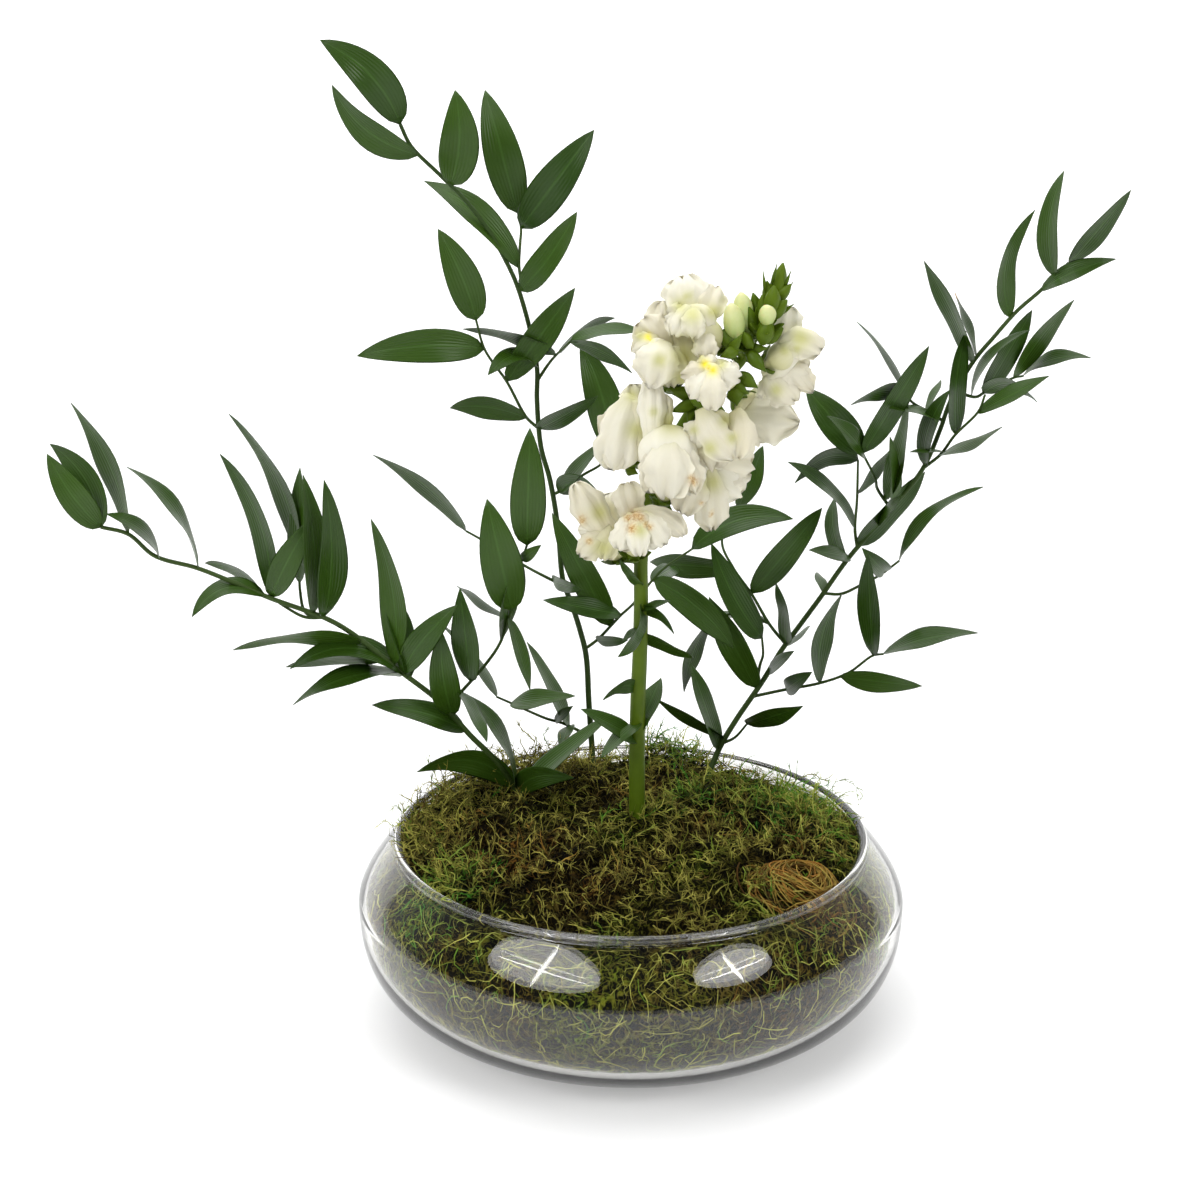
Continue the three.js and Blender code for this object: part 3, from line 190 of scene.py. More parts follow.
# Plants. A place is (across, down) in the picture, and a depth is the part's Y. Leaves go from
# where they spring to their tip, "wide" is their width in the picture, "towards" says how much of
# what their length lacks there they lean to the eye, and "arch" how far they bow to their right. A twig
# starts on what is there and comes nearer by its "lean".
LEFT = dict(
    root=(-20, 22, 36),
    depth=(34, -22),
    stem=[
        (521, 797), (500, 765), (470, 735), (440, 702), (400, 671), (350, 632), (325, 618),
        (270, 598), (235, 583), (197, 568), (155, 556), (128, 534), (101, 527),
    ],
    twigs=[
        dict(path=[(465, 693), (485, 665), (500, 643), (508, 620), (512, 610)], lean=8),
        dict(path=[(512, 610), (516, 580), (527, 545)], lean=4),
        dict(path=[(322, 626), (306, 613), (300, 590), (300, 562)], lean=-6),
        dict(path=[(322, 626), (305, 617), (284, 606), (271, 597)], lean=3),
    ],
    leaves=[
        dict(at=(101, 527), to=(47, 454), wide=30, towards=0.5, arch=-4),
        dict(at=(102, 527), to=(50, 444), wide=27, towards=-0.6, arch=12),
        dict(at=(157, 556), to=(106, 514), wide=14, arch=9),
        dict(at=(128, 531), to=(71, 403), wide=17, towards=-0.5, arch=11),
        dict(at=(197, 568), to=(127, 467), wide=11, towards=0.6, arch=13),
        dict(at=(269, 588), to=(205, 563), wide=10, arch=9),
        dict(at=(262, 602), to=(192, 617), wide=18, towards=0.7, arch=18),
        dict(at=(271, 596), to=(220, 454), wide=20, towards=-0.8, arch=15),
        dict(at=(271, 597), to=(312, 519), wide=28, towards=0.6, arch=-2),
        dict(at=(300, 562), to=(229, 414), wide=15, towards=-0.9, arch=16),
        dict(at=(316, 612), to=(303, 475), wide=25, towards=0.4, arch=5),
        dict(at=(313, 583), to=(300, 468), wide=20, towards=-0.7),
        dict(at=(323, 622), to=(324, 480), wide=28, towards=0.9, arch=8),
        dict(at=(360, 645), to=(233, 650), wide=13, towards=0.5, arch=11),
        dict(at=(400, 683), to=(290, 669), wide=22, towards=0.8, arch=24),
        dict(at=(378, 670), to=(286, 667), wide=12, towards=-0.4, arch=6),
        dict(at=(403, 670), to=(293, 705), wide=16, towards=0.9, arch=10),
        dict(at=(405, 664), to=(360, 663), wide=9, towards=-0.9),
        dict(at=(405, 670), to=(457, 605), wide=28, towards=0.7, arch=-4),
        dict(at=(406, 649), to=(371, 519), wide=24, towards=-0.5, arch=11),
        dict(at=(430, 650), to=(380, 580), wide=22, towards=-0.7, arch=4),
        dict(at=(469, 680), to=(460, 588), wide=26, towards=0.6),
        dict(at=(458, 710), to=(441, 630), wide=30, towards=0.9, arch=-4),
        dict(at=(495, 612), to=(457, 586), wide=8),
        dict(at=(464, 731), to=(372, 705), wide=24, towards=0.9, arch=5),
        dict(at=(463, 693), to=(487, 742), wide=14, towards=0.9),
        dict(at=(519, 787), to=(466, 694), wide=12, towards=0.6, arch=10),
        dict(at=(520, 787), to=(417, 772), wide=24, towards=0.9, arch=20),
        dict(at=(524, 786), to=(574, 778), wide=24, towards=0.9, arch=-10),
        dict(at=(528, 788), to=(612, 714), wide=18, towards=0.4),
        dict(at=(508, 643), to=(515, 553), wide=14, towards=0.6),
        dict(at=(512, 610), to=(487, 499), wide=42, towards=0.5),
        dict(at=(527, 543), to=(530, 428), wide=36, towards=0.4),
        dict(at=(510, 618), to=(530, 690), wide=14, towards=0.8),
        dict(at=(523, 560), to=(541, 545), wide=12, length=16, towards=0.9),
    ],
)

UPRIGHT = dict(
    root=(-14, 44, 34),
    depth=(84, 96),
    stem=[
        (592, 748), (589, 705), (586, 655), (580, 630), (572, 605), (563, 580), (558, 528),
        (550, 480), (541, 447), (537, 400), (537, 368), (530, 330), (518, 288), (508, 265),
        (490, 233), (465, 200), (440, 175), (411, 146), (400, 124),
    ],
    twigs=[
        dict(path=[(520, 292), (521, 285), (519, 265), (520, 245), (521, 228), (518, 213)], lean=-18),
        dict(path=[(537, 428), (527, 418), (507, 382), (485, 350), (476, 320)], lean=26),
        dict(path=[(537, 378), (550, 362), (570, 342)], lean=20),
        dict(path=[(567, 583), (540, 574), (527, 567), (484, 541), (466, 531)], lean=-8),
        dict(path=[(586, 650), (597, 640), (620, 616), (633, 604), (661, 571), (692, 549)], lean=36),
        dict(path=[(553, 493), (562, 490), (583, 475), (600, 465), (612, 452)], lean=6),
        dict(path=[(589, 735), (565, 724), (545, 718), (511, 703), (497, 697)], lean=16),
    ],
    leaves=[
        dict(at=(400, 123), to=(320, 40), wide=38, towards=0.5, arch=12),
        dict(at=(417, 158), to=(332, 85), wide=27, towards=-0.5, arch=-13),
        dict(at=(452, 183), to=(455, 90), wide=40, towards=0.5, arch=7),
        dict(at=(517, 212), to=(485, 90), wide=38, towards=-0.4),
        dict(at=(524, 228), to=(594, 130), wide=38, towards=0.5),
        dict(at=(526, 292), to=(577, 212), wide=28, towards=0.7, arch=4),
        dict(at=(519, 268), to=(424, 181), wide=26, towards=-0.8, arch=11),
        dict(at=(476, 317), to=(438, 229), wide=35, towards=0.6, arch=4),
        dict(at=(485, 348), to=(357, 356), wide=34, towards=0.7, arch=6),
        dict(at=(527, 417), to=(450, 408), wide=22, towards=-0.6, arch=6),
        dict(at=(508, 380), to=(575, 288), wide=30, towards=-0.5),
        dict(at=(553, 352), to=(463, 329), wide=12, towards=0.9, arch=8),
        dict(at=(538, 365), to=(488, 375), wide=17, towards=0.9, arch=14),
        dict(at=(570, 342), to=(643, 331), wide=14, towards=-0.4, arch=-5),
        dict(at=(570, 342), to=(632, 373), wide=13, towards=0.4, arch=-7),
        dict(at=(612, 452), to=(580, 343), wide=36, towards=-0.2, arch=6),
        dict(at=(541, 428), to=(598, 396), wide=18, towards=0.8),
        dict(at=(559, 488), to=(603, 442), wide=15, towards=0.8),
        dict(at=(557, 490), to=(605, 500), wide=20, towards=0.8, arch=-12),
        dict(at=(465, 528), to=(373, 455), wide=14, towards=0.3, arch=10),
        dict(at=(555, 577), to=(582, 590), wide=14, length=30, towards=0.9),
        dict(at=(610, 625), to=(552, 513), wide=30, towards=0.3),
        dict(at=(622, 615), to=(543, 600), wide=20, towards=0.6),
        dict(at=(652, 582), to=(675, 567), wide=18, length=34, towards=-0.9),
        dict(at=(655, 579), to=(733, 648), wide=30, towards=0.4, arch=-7),
        dict(at=(692, 549), to=(793, 519), wide=28, towards=0.2, arch=-14),
        dict(at=(570, 724), to=(527, 642), wide=14, towards=0.3),
        dict(at=(511, 703), to=(575, 696), wide=18, towards=0.9),
        dict(at=(570, 724), to=(560, 748), wide=13, length=28, towards=0.9),
        dict(at=(497, 697), to=(441, 624), wide=9, towards=0.1, arch=8),
        dict(at=(597, 640), to=(628, 640), wide=12, length=26, towards=0.9),
        dict(at=(555, 720), to=(573, 706), wide=10, length=18, towards=0.9),
        dict(at=(553, 350), to=(615, 318), wide=8, towards=-0.8, arch=-9),
    ],
)

RIGHT = dict(
    root=(12, 30, 36),
    depth=(65, 94),
    stem=[
        (713, 763), (721, 745), (736, 720), (764, 679), (781, 651), (800, 625), (820, 598),
        (847, 560), (888, 512), (922, 470), (940, 430), (950, 402), (973, 362), (993, 338),
        (1017, 311), (1040, 291), (1069, 263),
    ],
    twigs=[
        dict(path=[(724, 746), (734, 738), (747, 724)], lean=5),
        dict(path=[(755, 695), (783, 690), (820, 683), (848, 673), (872, 656), (883, 654)], lean=30),
        dict(path=[(757, 693), (760, 665), (763, 655), (762, 638)], lean=4),
        dict(path=[(783, 645), (770, 625), (751, 593), (734, 569), (722, 541), (738, 508)], lean=-22),
        dict(path=[(765, 625), (740, 612), (710, 622)], lean=-2),
        dict(path=[(858, 546), (855, 530), (857, 500), (858, 460)], lean=-20),
        dict(path=[(884, 507), (878, 490), (875, 478), (862, 452)], lean=18),
        dict(path=[(823, 595), (840, 594), (859, 586), (880, 575), (899, 561)], lean=24),
        dict(path=[(922, 470), (940, 455), (955, 435), (978, 412), (985, 395)], lean=20),
        dict(path=[(962, 397), (975, 397), (985, 392), (1013, 378), (1023, 376)], lean=-14),
        dict(path=[(938, 422), (925, 410), (912, 402), (905, 392)], lean=16),
    ],
    leaves=[
        dict(at=(747, 724), to=(803, 706), wide=18, towards=0.9),
        dict(at=(883, 655), to=(978, 633), wide=17, towards=0.6, arch=-5),
        dict(at=(842, 682), to=(922, 686), wide=20, towards=0.9),
        dict(at=(871, 648), to=(868, 553), wide=22, towards=0.6),
        dict(at=(820, 682), to=(842, 594), wide=17, towards=-0.4, arch=-10),
        dict(at=(786, 690), to=(812, 672), wide=18, length=30, towards=0.9),
        dict(at=(760, 638), to=(711, 543), wide=28, towards=0.4, arch=-5),
        dict(at=(757, 688), to=(709, 597), wide=28, towards=0.2),
        dict(at=(753, 592), to=(822, 508), wide=28, towards=-0.7),
        dict(at=(783, 645), to=(776, 583), wide=13, towards=0.8, arch=5),
        dict(at=(766, 624), to=(708, 613), wide=9, towards=-0.6),
        dict(at=(710, 622), to=(684, 692), wide=14, towards=0.4, arch=6),
        dict(at=(721, 748), to=(690, 663), wide=18, towards=0.1),
        dict(at=(724, 738), to=(655, 698), wide=10, towards=0.3),
        dict(at=(853, 528), to=(788, 462), wide=14, towards=0.7, arch=8),
        dict(at=(845, 562), to=(835, 497), wide=16, towards=-0.8, arch=-6),
        dict(at=(851, 555), to=(809, 550), wide=14, length=32, towards=0.9),
        dict(at=(899, 560), to=(983, 487), wide=12, towards=0.6, arch=-12),
        dict(at=(858, 546), to=(925, 472), wide=22, towards=-0.6),
        dict(at=(878, 526), to=(903, 495), wide=10, length=28, towards=0.9),
        dict(at=(864, 494), to=(892, 448), wide=10, length=30, towards=-0.9),
        dict(at=(884, 500), to=(908, 401), wide=17, towards=0.7, arch=5),
        dict(at=(893, 503), to=(890, 437), wide=12, towards=0.9),
        dict(at=(864, 452), to=(806, 388), wide=34, towards=-0.6),
        dict(at=(868, 455), to=(827, 416), wide=15, towards=0.6, arch=3),
        dict(at=(859, 460), to=(795, 483), wide=17, towards=0.9, arch=14),
        dict(at=(864, 452), to=(929, 346), wide=24, towards=-0.3),
        dict(at=(908, 392), to=(851, 405), wide=13, towards=0.8, arch=8),
        dict(at=(934, 418), to=(888, 408), wide=8, towards=0.9),
        dict(at=(924, 465), to=(950, 390), wide=18, towards=0.8, arch=-8),
        dict(at=(952, 431), to=(966, 331), wide=19, towards=-0.6, arch=-5),
        dict(at=(973, 360), to=(924, 261), wide=17, towards=0.4, arch=4),
        dict(at=(1011, 315), to=(1035, 210), wide=17, towards=0.5, arch=-17),
        dict(at=(1055, 277), to=(1064, 171), wide=21, towards=-0.5, arch=-9),
        dict(at=(1070, 263), to=(1131, 190), wide=19, towards=0.4),
        dict(at=(1042, 289), to=(1116, 259), wide=17, towards=0.6, arch=-4),
        dict(at=(983, 391), to=(1032, 310), wide=22, towards=-0.6),
        dict(at=(971, 397), to=(1030, 330), wide=9, towards=0.7, arch=-11),
        dict(at=(1013, 377), to=(1074, 300), wide=17, towards=-0.5, arch=-4),
        dict(at=(1023, 376), to=(1091, 358), wide=12, towards=0.5, arch=-8),
        dict(at=(982, 391), to=(1037, 402), wide=12, towards=0.9, arch=-14),
        dict(at=(979, 414), to=(1049, 376), wide=16, towards=0.6),
        dict(at=(940, 456), to=(1002, 427), wide=9, towards=0.7),
        dict(at=(733, 568), to=(650, 562), wide=24, length=48, towards=-0.9),
        dict(at=(738, 508), to=(763, 446), wide=22, towards=-0.5),
        dict(at=(768, 672), to=(794, 651), wide=12, length=26, towards=0.9),
        dict(at=(785, 645), to=(810, 626), wide=6, length=26, towards=-0.9),
        dict(at=(884, 571), to=(862, 548), wide=18, length=26, towards=0.9, fold=0.8),
        dict(at=(823, 594), to=(818, 573), wide=10, length=22, towards=-0.9),
        dict(at=(927, 411), to=(941, 380), wide=8, length=24, towards=-0.8),
        dict(at=(943, 452), to=(910, 452), wide=4, length=22, towards=0.9),
        dict(at=(905, 392), to=(857, 322), wide=5, towards=0.4, arch=7),
        dict(at=(975, 358), to=(955, 293), wide=6, towards=-0.7, tipped=1),
    ],
)

SNAPDRAGON = dict(
    root=(3, 2, 34),
    depth=(0, -8),
    stem=[
        (637, 838), (637, 750), (638, 700), (640, 650), (641, 600), (641, 560), (645, 520),
        (650, 495), (663, 465), (680, 430), (698, 403), (720, 382), (740, 362), (750, 345),
        (760, 325), (768, 303), (775, 284), (780, 272),
    ],
    twigs=[],
    leaves=[
        dict(at=(640, 635), to=(693, 658), wide=12, towards=-0.4),
        dict(at=(640, 732), to=(661, 678), wide=20, towards=-0.6),
        dict(at=(637, 738), to=(581, 709), wide=18, towards=0.6),
        dict(at=(638, 690), to=(603, 700), wide=12, length=26, towards=0.8, arch=8),
        dict(at=(640, 725), to=(601, 758), wide=15, towards=0.8),
        dict(at=(641, 606), to=(618, 657), wide=12, towards=0.7, arch=-8),
        dict(at=(641, 625), to=(622, 642), wide=8, length=18, towards=0.8),
        dict(at=(641, 608), to=(670, 601), wide=8, length=20, towards=0.8),
        dict(at=(641, 612), to=(674, 634), wide=9, length=28, towards=0.8, arch=-8),
        dict(at=(641, 585), to=(620, 560), wide=10, length=24, towards=0.7),
    ],
)

# Blooms and buds. A place is (across, down) in the picture with its depth. The calyx is the foot of the
# tube and the mouth its end. "bulge" is how far a petal swells to the eye, in millimetres, and "point" how
# sharp its end is. Green, yellow and brown marks each have a place and a reach.
BLOOMS = dict(
    low_left=dict(
        calyx=(622, 561, -4),
        mouth=(600, 530, -14),
        petals=[
            dict(at=(614, 546, -10), to=(573, 481, -16), wide=36, bulge=3, point=0.7),
            dict(at=(614, 538, -8), to=(605, 498, -4), wide=34, bulge=-2),
            dict(at=(602, 530, -12), to=(576, 529, -12), wide=15, point=0.6),
            dict(at=(606, 532, -14), to=(580, 557, -16), wide=30, bulge=3),
            dict(at=(612, 530, -14), to=(604, 560, -18), wide=26, bulge=2),
        ],
        green=[(604, 548, 12), (600, 512, 9)],
        brown=[(582, 520, 4), (589, 541, 3)],
    ),
    low_front=dict(
        calyx=(634, 557, -12),
        mouth=(637, 522, -28),
        petals=[
            dict(at=(634, 522, -22), to=(625, 479, -18), wide=34, bulge=3),
            dict(at=(634, 514, -26), to=(686, 539, -24), wide=24, arch=-9, bulge=3, point=0.4),
            dict(at=(634, 514, -30), to=(618, 553, -38), wide=30, bulge=3),
            dict(at=(636, 514, -31), to=(640, 560, -42), wide=24, bulge=5, point=0.4),
            dict(at=(640, 514, -30), to=(666, 548, -38), wide=32, bulge=4),
        ],
        pouches=[dict(at=(632, 514, -32), to=(652, 542, -34), wide=28)],
        brown=[(636, 516, 6), (628, 518, 4), (641, 518, 4), (646, 524, 3), (632, 528, 5), (650, 527, 3)],
        green=[(640, 530, 8)],
    ),
    mid_left=dict(
        calyx=(634, 466, -6),
        mouth=(630, 428, -14),
        petals=[
            dict(at=(638, 424, -8), to=(632, 384, -4), wide=30, bulge=2),
            dict(at=(634, 396, -14), to=(616, 477, -22), wide=50, bulge=7, arch=4),
            dict(at=(630, 406, -12), to=(602, 440, -16), wide=34, bulge=4),
            dict(at=(636, 400, -16), to=(640, 462, -22), wide=26, bulge=4),
        ],
        pouches=[dict(at=(624, 412, -16), to=(614, 470, -20), wide=36)],
        green=[(636, 430, 11), (632, 396, 8)],
    ),
    mid_front=dict(
        calyx=(664, 504, -14),
        mouth=(667, 446, -30),
        petals=[
            dict(at=(652, 446, -34), to=(652, 377, -30), wide=29, bulge=2),
            dict(at=(664, 436, -30), to=(662, 392, -28), wide=22, bulge=2),
            dict(at=(660, 440, -36), to=(652, 494, -42), wide=34, bulge=4),
            dict(at=(668, 434, -36), to=(668, 500, -46), wide=52, bulge=6),
            dict(at=(676, 440, -36), to=(694, 494, -42), wide=36, bulge=4),
            dict(at=(680, 440, -32), to=(706, 476, -34), wide=30, bulge=3),
        ],
        pouches=[dict(at=(668, 424, -32), to=(669, 488, -38), wide=58)],
        green=[(672, 422, 14), (654, 412, 5)],
        brown=[(694, 482, 4), (691, 478, 3)],
    ),
    mid_right=dict(
        calyx=(682, 470, -2),
        mouth=(706, 470, -18),
        petals=[
            dict(at=(702, 468, -20), to=(758, 470, -14), wide=46, bulge=3, arch=-3),
            dict(at=(706, 470, -22), to=(744, 498, -18), wide=34, bulge=2),
            dict(at=(708, 468, -24), to=(713, 534, -22), wide=38, bulge=3, point=0.8),
            dict(at=(698, 470, -26), to=(684, 513, -28), wide=38, bulge=3),
            dict(at=(700, 462, -22), to=(716, 448, -22), wide=40, bulge=2),
        ],
        green=[(712, 482, 11), (742, 446, 6)],
        brown=[(701, 503, 2), (711, 514, 2)],
    ),
    hooded=dict(
        calyx=(700, 412, -20),
        mouth=(716, 428, -34),
        petals=[
            dict(at=(702, 408, -36), to=(735, 461, -46), wide=36, bulge=4, arch=4, point=0.9),
            dict(at=(734, 410, -34), to=(737, 461, -44), wide=30, bulge=3, arch=-7, point=0.8),
            dict(at=(716, 412, -34), to=(733, 440, -36), wide=26, bulge=2),
            dict(at=(708, 420, -34), to=(690, 446, -36), wide=34, bulge=3),
            dict(at=(712, 430, -34), to=(714, 466, -34), wide=42, bulge=4),
        ],
        green=[(726, 420, 8), (732, 438, 6), (694, 430, 5), (710, 448, 8)],
    ),
    right=dict(
        calyx=(733, 394, 8),
        mouth=(748, 408, 4),
        petals=[
            dict(at=(740, 414, 2), to=(799, 423, -4), wide=50, bulge=3, point=0.9),
            dict(at=(742, 406, 6), to=(779, 392, 8), wide=28, bulge=2),
            dict(at=(744, 412, 2), to=(762, 446, 0), wide=30, bulge=3),
        ],
        green=[(748, 392, 8), (734, 414, 6)],
    ),
    upper_left=dict(
        calyx=(672, 392, -14),
        mouth=(662, 350, -20),
        petals=[
            dict(at=(668, 350, -18), to=(640, 318, -18), wide=40, bulge=3),
            dict(at=(664, 342, -14), to=(662, 300, -10), wide=36, bulge=2),
            dict(at=(660, 340, -22), to=(632, 352, -24), wide=30, bulge=4),
            dict(at=(662, 340, -24), to=(652, 385, -32), wide=48, bulge=6),
            dict(at=(672, 346, -22), to=(672, 390, -26), wide=34, bulge=4),
            dict(at=(684, 326, -14), to=(690, 384, -16), wide=40, bulge=2),
        ],
        pouches=[dict(at=(660, 338, -22), to=(650, 374, -26), wide=40)],
        yellow=[(648, 337, 4), (651, 340, 2)],
        green=[(684, 356, 16), (682, 378, 12), (640, 336, 6), (660, 360, 8)],
    ),
    top=dict(
        calyx=(722, 350, -12),
        mouth=(696, 322, -26),
        petals=[
            dict(at=(692, 326, -18), to=(681, 271, -12), wide=46, bulge=3),
            dict(at=(700, 326, -18), to=(715, 282, -12), wide=40, bulge=3),
            dict(at=(690, 322, -20), to=(662, 316, -20), wide=34, bulge=3),
            dict(at=(700, 328, -20), to=(718, 322, -18), wide=36, bulge=3),
            dict(at=(690, 306, -26), to=(672, 338, -31), wide=24, bulge=4),
            dict(at=(694, 308, -27), to=(692, 340, -33), wide=26, bulge=5),
            dict(at=(704, 330, -26), to=(706, 362, -32), wide=26, bulge=3),
        ],
        pouches=[dict(at=(692, 304, -22), to=(698, 336, -25), wide=40)],
        green=[(692, 314, 12), (680, 306, 9), (712, 312, 8), (684, 345, 12), (688, 296, 5)],
    ),
    upper_front=dict(
        calyx=(734, 382, -16),
        mouth=(712, 370, -36),
        petals=[
            dict(at=(708, 372, -38), to=(704, 354, -36), wide=24, bulge=2),
            dict(at=(710, 372, -40), to=(681, 376, -42), wide=26, bulge=4),
            dict(at=(710, 372, -42), to=(690, 399, -46), wide=28, bulge=4),
            dict(at=(711, 370, -42), to=(714, 410, -48), wide=30, bulge=5),
            dict(at=(714, 372, -40), to=(741, 378, -38), wide=30, bulge=3),
        ],
        pouches=[dict(at=(700, 368, -40), to=(722, 384, -42), wide=26)],
        yellow=[(705, 364, 5), (713, 370, 5), (709, 367, 4)],
        brown=[(708, 367, 1.5)],
        green=[(722, 364, 6), (700, 356, 5)],
    ),
    upper_right=dict(
        calyx=(762, 368, -8),
        mouth=(794, 350, -14),
        petals=[
            dict(at=(784, 350, -8), to=(789, 306, -4), wide=32, bulge=2),
            dict(at=(776, 362, -12), to=(824, 356, -18), wide=34, arch=-15, bulge=5),
            dict(at=(772, 366, -12), to=(812, 372, -12), wide=34, bulge=2),
            dict(at=(768, 372, -12), to=(797, 404, -10), wide=40, bulge=3, point=0.6),
            dict(at=(786, 360, -12), to=(812, 390, -10), wide=26, bulge=3, point=0.5),
            dict(at=(764, 378, -10), to=(776, 394, -8), wide=34, bulge=2),
        ],
        pouches=[dict(at=(764, 378, -10), to=(800, 340, -16), wide=28)],
        green=[(800, 338, 12), (784, 350, 9), (768, 366, 9), (797, 349, 6), (776, 390, 7)],
    ),
)
BUDS = dict(
    large=dict(calyx=(746, 344, -10), mouth=(741, 293, -16)),
    left=dict(calyx=(738, 352, -14), mouth=(731, 304, -24)),
    small=dict(calyx=(766, 330, -16), mouth=(768, 307, -26)),
)
# Green buds crowded round the tip of the stem, from foot to point, each with the depth of its foot
GREEN_TIP = (
    dict(at=(775, 300), to=(783, 263), wide=18, depth=-8),
    dict(at=(769, 304), to=(767, 281), wide=13, depth=-8),
    dict(at=(771, 312), to=(774, 286), wide=18, depth=-16),
    dict(at=(776, 302), to=(791, 284), wide=13, depth=-10),
    dict(at=(760, 320), to=(753, 293), wide=14, depth=-10),
    dict(at=(764, 318), to=(762, 295), wide=13, depth=-14),
    dict(at=(770, 318), to=(787, 300), wide=17, depth=-14),
    dict(at=(756, 334), to=(747, 305), wide=14, depth=-14),
    dict(at=(762, 344), to=(770, 319), wide=19, depth=-20),
    dict(at=(764, 342), to=(783, 328), wide=16, depth=-14),
    dict(at=(752, 348), to=(743, 332), wide=13, depth=-18),
    dict(at=(760, 330), to=(776, 316), wide=14, depth=-6),
    dict(at=(757, 336), to=(757, 316), wide=14, depth=-4),
)

# Narrow bracts that stand out of the tip, and broad sepals that show between the blooms
BRACTS = (
    dict(at=(766, 296), to=(763, 271), wide=4, depth=-10),
    dict(at=(772, 284), to=(777, 264), wide=4, depth=-12),
    dict(at=(784, 288), to=(791, 271), wide=4, depth=-10),
    dict(at=(784, 296), to=(793, 282), wide=4, depth=-8),
    dict(at=(780, 314), to=(794, 304), wide=5, depth=-10),
    dict(at=(722, 330), to=(738, 356), wide=16, depth=-20),
    dict(at=(738, 350), to=(720, 357), wide=13, depth=-24),
    dict(at=(728, 356), to=(742, 334), wide=11, depth=-22),
    dict(at=(700, 398), to=(668, 388), wide=15, depth=-20),
    dict(at=(698, 402), to=(670, 412), wide=13, depth=-24),
    dict(at=(696, 398), to=(688, 424), wide=12, depth=-22),
    dict(at=(692, 394), to=(708, 411), wide=14, depth=-28),
    dict(at=(710, 402), to=(725, 411), wide=9, depth=-30),
    dict(at=(738, 374), to=(758, 388), wide=15, depth=-20),
    dict(at=(732, 386), to=(749, 394), wide=14, depth=-22),
    dict(at=(734, 388), to=(737, 406), wide=18, depth=-24),
    dict(at=(748, 352), to=(766, 372), wide=14, depth=-20),
    dict(at=(742, 350), to=(768, 348), wide=13, depth=-16),
    dict(at=(626, 468), to=(638, 474), wide=12, depth=-10),
    dict(at=(654, 500), to=(674, 514), wide=14, depth=-12),
)


def seen(across, down, depth):
    """The point that shows at a place of the picture: the ray through the place, followed to the depth."""
    across, down, depth = (np.asarray(value, float)[..., None] for value in (across, down, depth))
    ray = VIEW_AHEAD + VIEW_RIGHT * (across - VIEW_CENTRE) / VIEW_FOCUS
    ray = ray + VIEW_UP * (VIEW_CENTRE - down) / VIEW_FOCUS
    return EYE + ray * (depth - EYE[1]) / ray[..., 1:2]


def seen_path(places, near, far):
    """Points behind a row of places, their depth going evenly from the first value to the last."""
    across, down = np.array(places, float).T
    return seen(across, down, np.linspace(near, far, len(places)))


def shown(points):
    """The places where points show: focus times the offset across and up, over the distance ahead."""
    offset = points - EYE
    ahead = offset @ VIEW_AHEAD
    across = VIEW_CENTRE + VIEW_FOCUS * (offset @ VIEW_RIGHT) / ahead
    down = VIEW_CENTRE - VIEW_FOCUS * (offset @ VIEW_UP) / ahead
    return np.stack([across, down], axis=-1)


def step_size(point):
    """Millimetres that one step of the picture covers at a point."""
    return float((point - EYE) @ VIEW_AHEAD) / VIEW_FOCUS


def on_moss(place):
    """Where a place of the picture meets the level of the moss, as (x, y)."""
    near, far = seen(*place, -BOWL_RADIUS), seen(*place, BOWL_RADIUS)
    share = (MOSS_HEIGHT - near[2]) / (far[2] - near[2])
    return (near + share * (far - near))[:2]


def unit(vectors):
    """Vectors divided by their own length."""
    return vectors / np.linalg.norm(vectors, axis=-1, keepdims=True)


def square_to(vectors, ahead):
    """Unit vectors with the part that runs ahead taken away."""
    return unit(vectors - (vectors * ahead).sum(-1, keepdims=True) * ahead)


def eye_frame(root, tip):
    """The way from a root to a tip, the way square to it that faces the eye, and the way square to
    both."""
    ahead = unit(tip - root)
    facing = square_to(EYE - root, ahead)
    return ahead, facing, np.cross(ahead, facing)


def angles(sides):
    """Angles at even steps round a full turn."""
    return 2 * math.pi * np.arange(sides) / sides


def bell(gap, reach):
    """A bell curve: e to the power of minus the square of the gap over its reach."""
    return np.exp(-((gap / reach) ** 2))


def smooth_line(points, per_span=16):
    """A dense centripetal spline through points: each span is the cubic that keeps both ends and the
    slopes there, which weigh the neighbouring spans by the root of their lengths."""
    points = np.asarray(points, float)
    p = np.vstack([2 * points[0] - points[1], points, 2 * points[-1] - points[-2]])
    root = np.linalg.norm(np.diff(p, axis=0), axis=1)[:, None] ** 0.5
    before, here, after = root[:-2], root[1:-1], root[2:]
    a, b, c, d = p[:-3], p[1:-2], p[2:-1], p[3:]
    slope_b = ((b - a) / before - (c - a) / (before + here) + (c - b) / here) * here
    slope_c = ((c - b) / here - (d - b) / (here + after) + (d - c) / after) * here
    t = np.linspace(0, 1, per_span, endpoint=False)[:, None, None]
    cubic = 2 * (b - c) + slope_b + slope_c
    square = 3 * (c - b) - 2 * slope_b - slope_c
    spans = b + slope_b * t + square * t**2 + cubic * t**3
    return np.vstack([spans.transpose(1, 0, 2).reshape(-1, 3), points[-1]])


def spaced(line, count):
    """Points at even steps along a line, by its running length."""
    length = np.concatenate([[0], np.cumsum(np.linalg.norm(np.diff(line, axis=0), axis=1))])
    at = np.linspace(0, length[-1], count)
    return np.stack([np.interp(at, length, line[:, axis]) for axis in range(3)], axis=1)


def nearest_on(lines, place):
    """The point of some lines that shows nearest to a place of the picture."""
    points = np.vstack([spaced(line, ROOT_PLACES + 1) for line in lines])
    return points[np.argmin(np.linalg.norm(shown(points) - place, axis=1))]


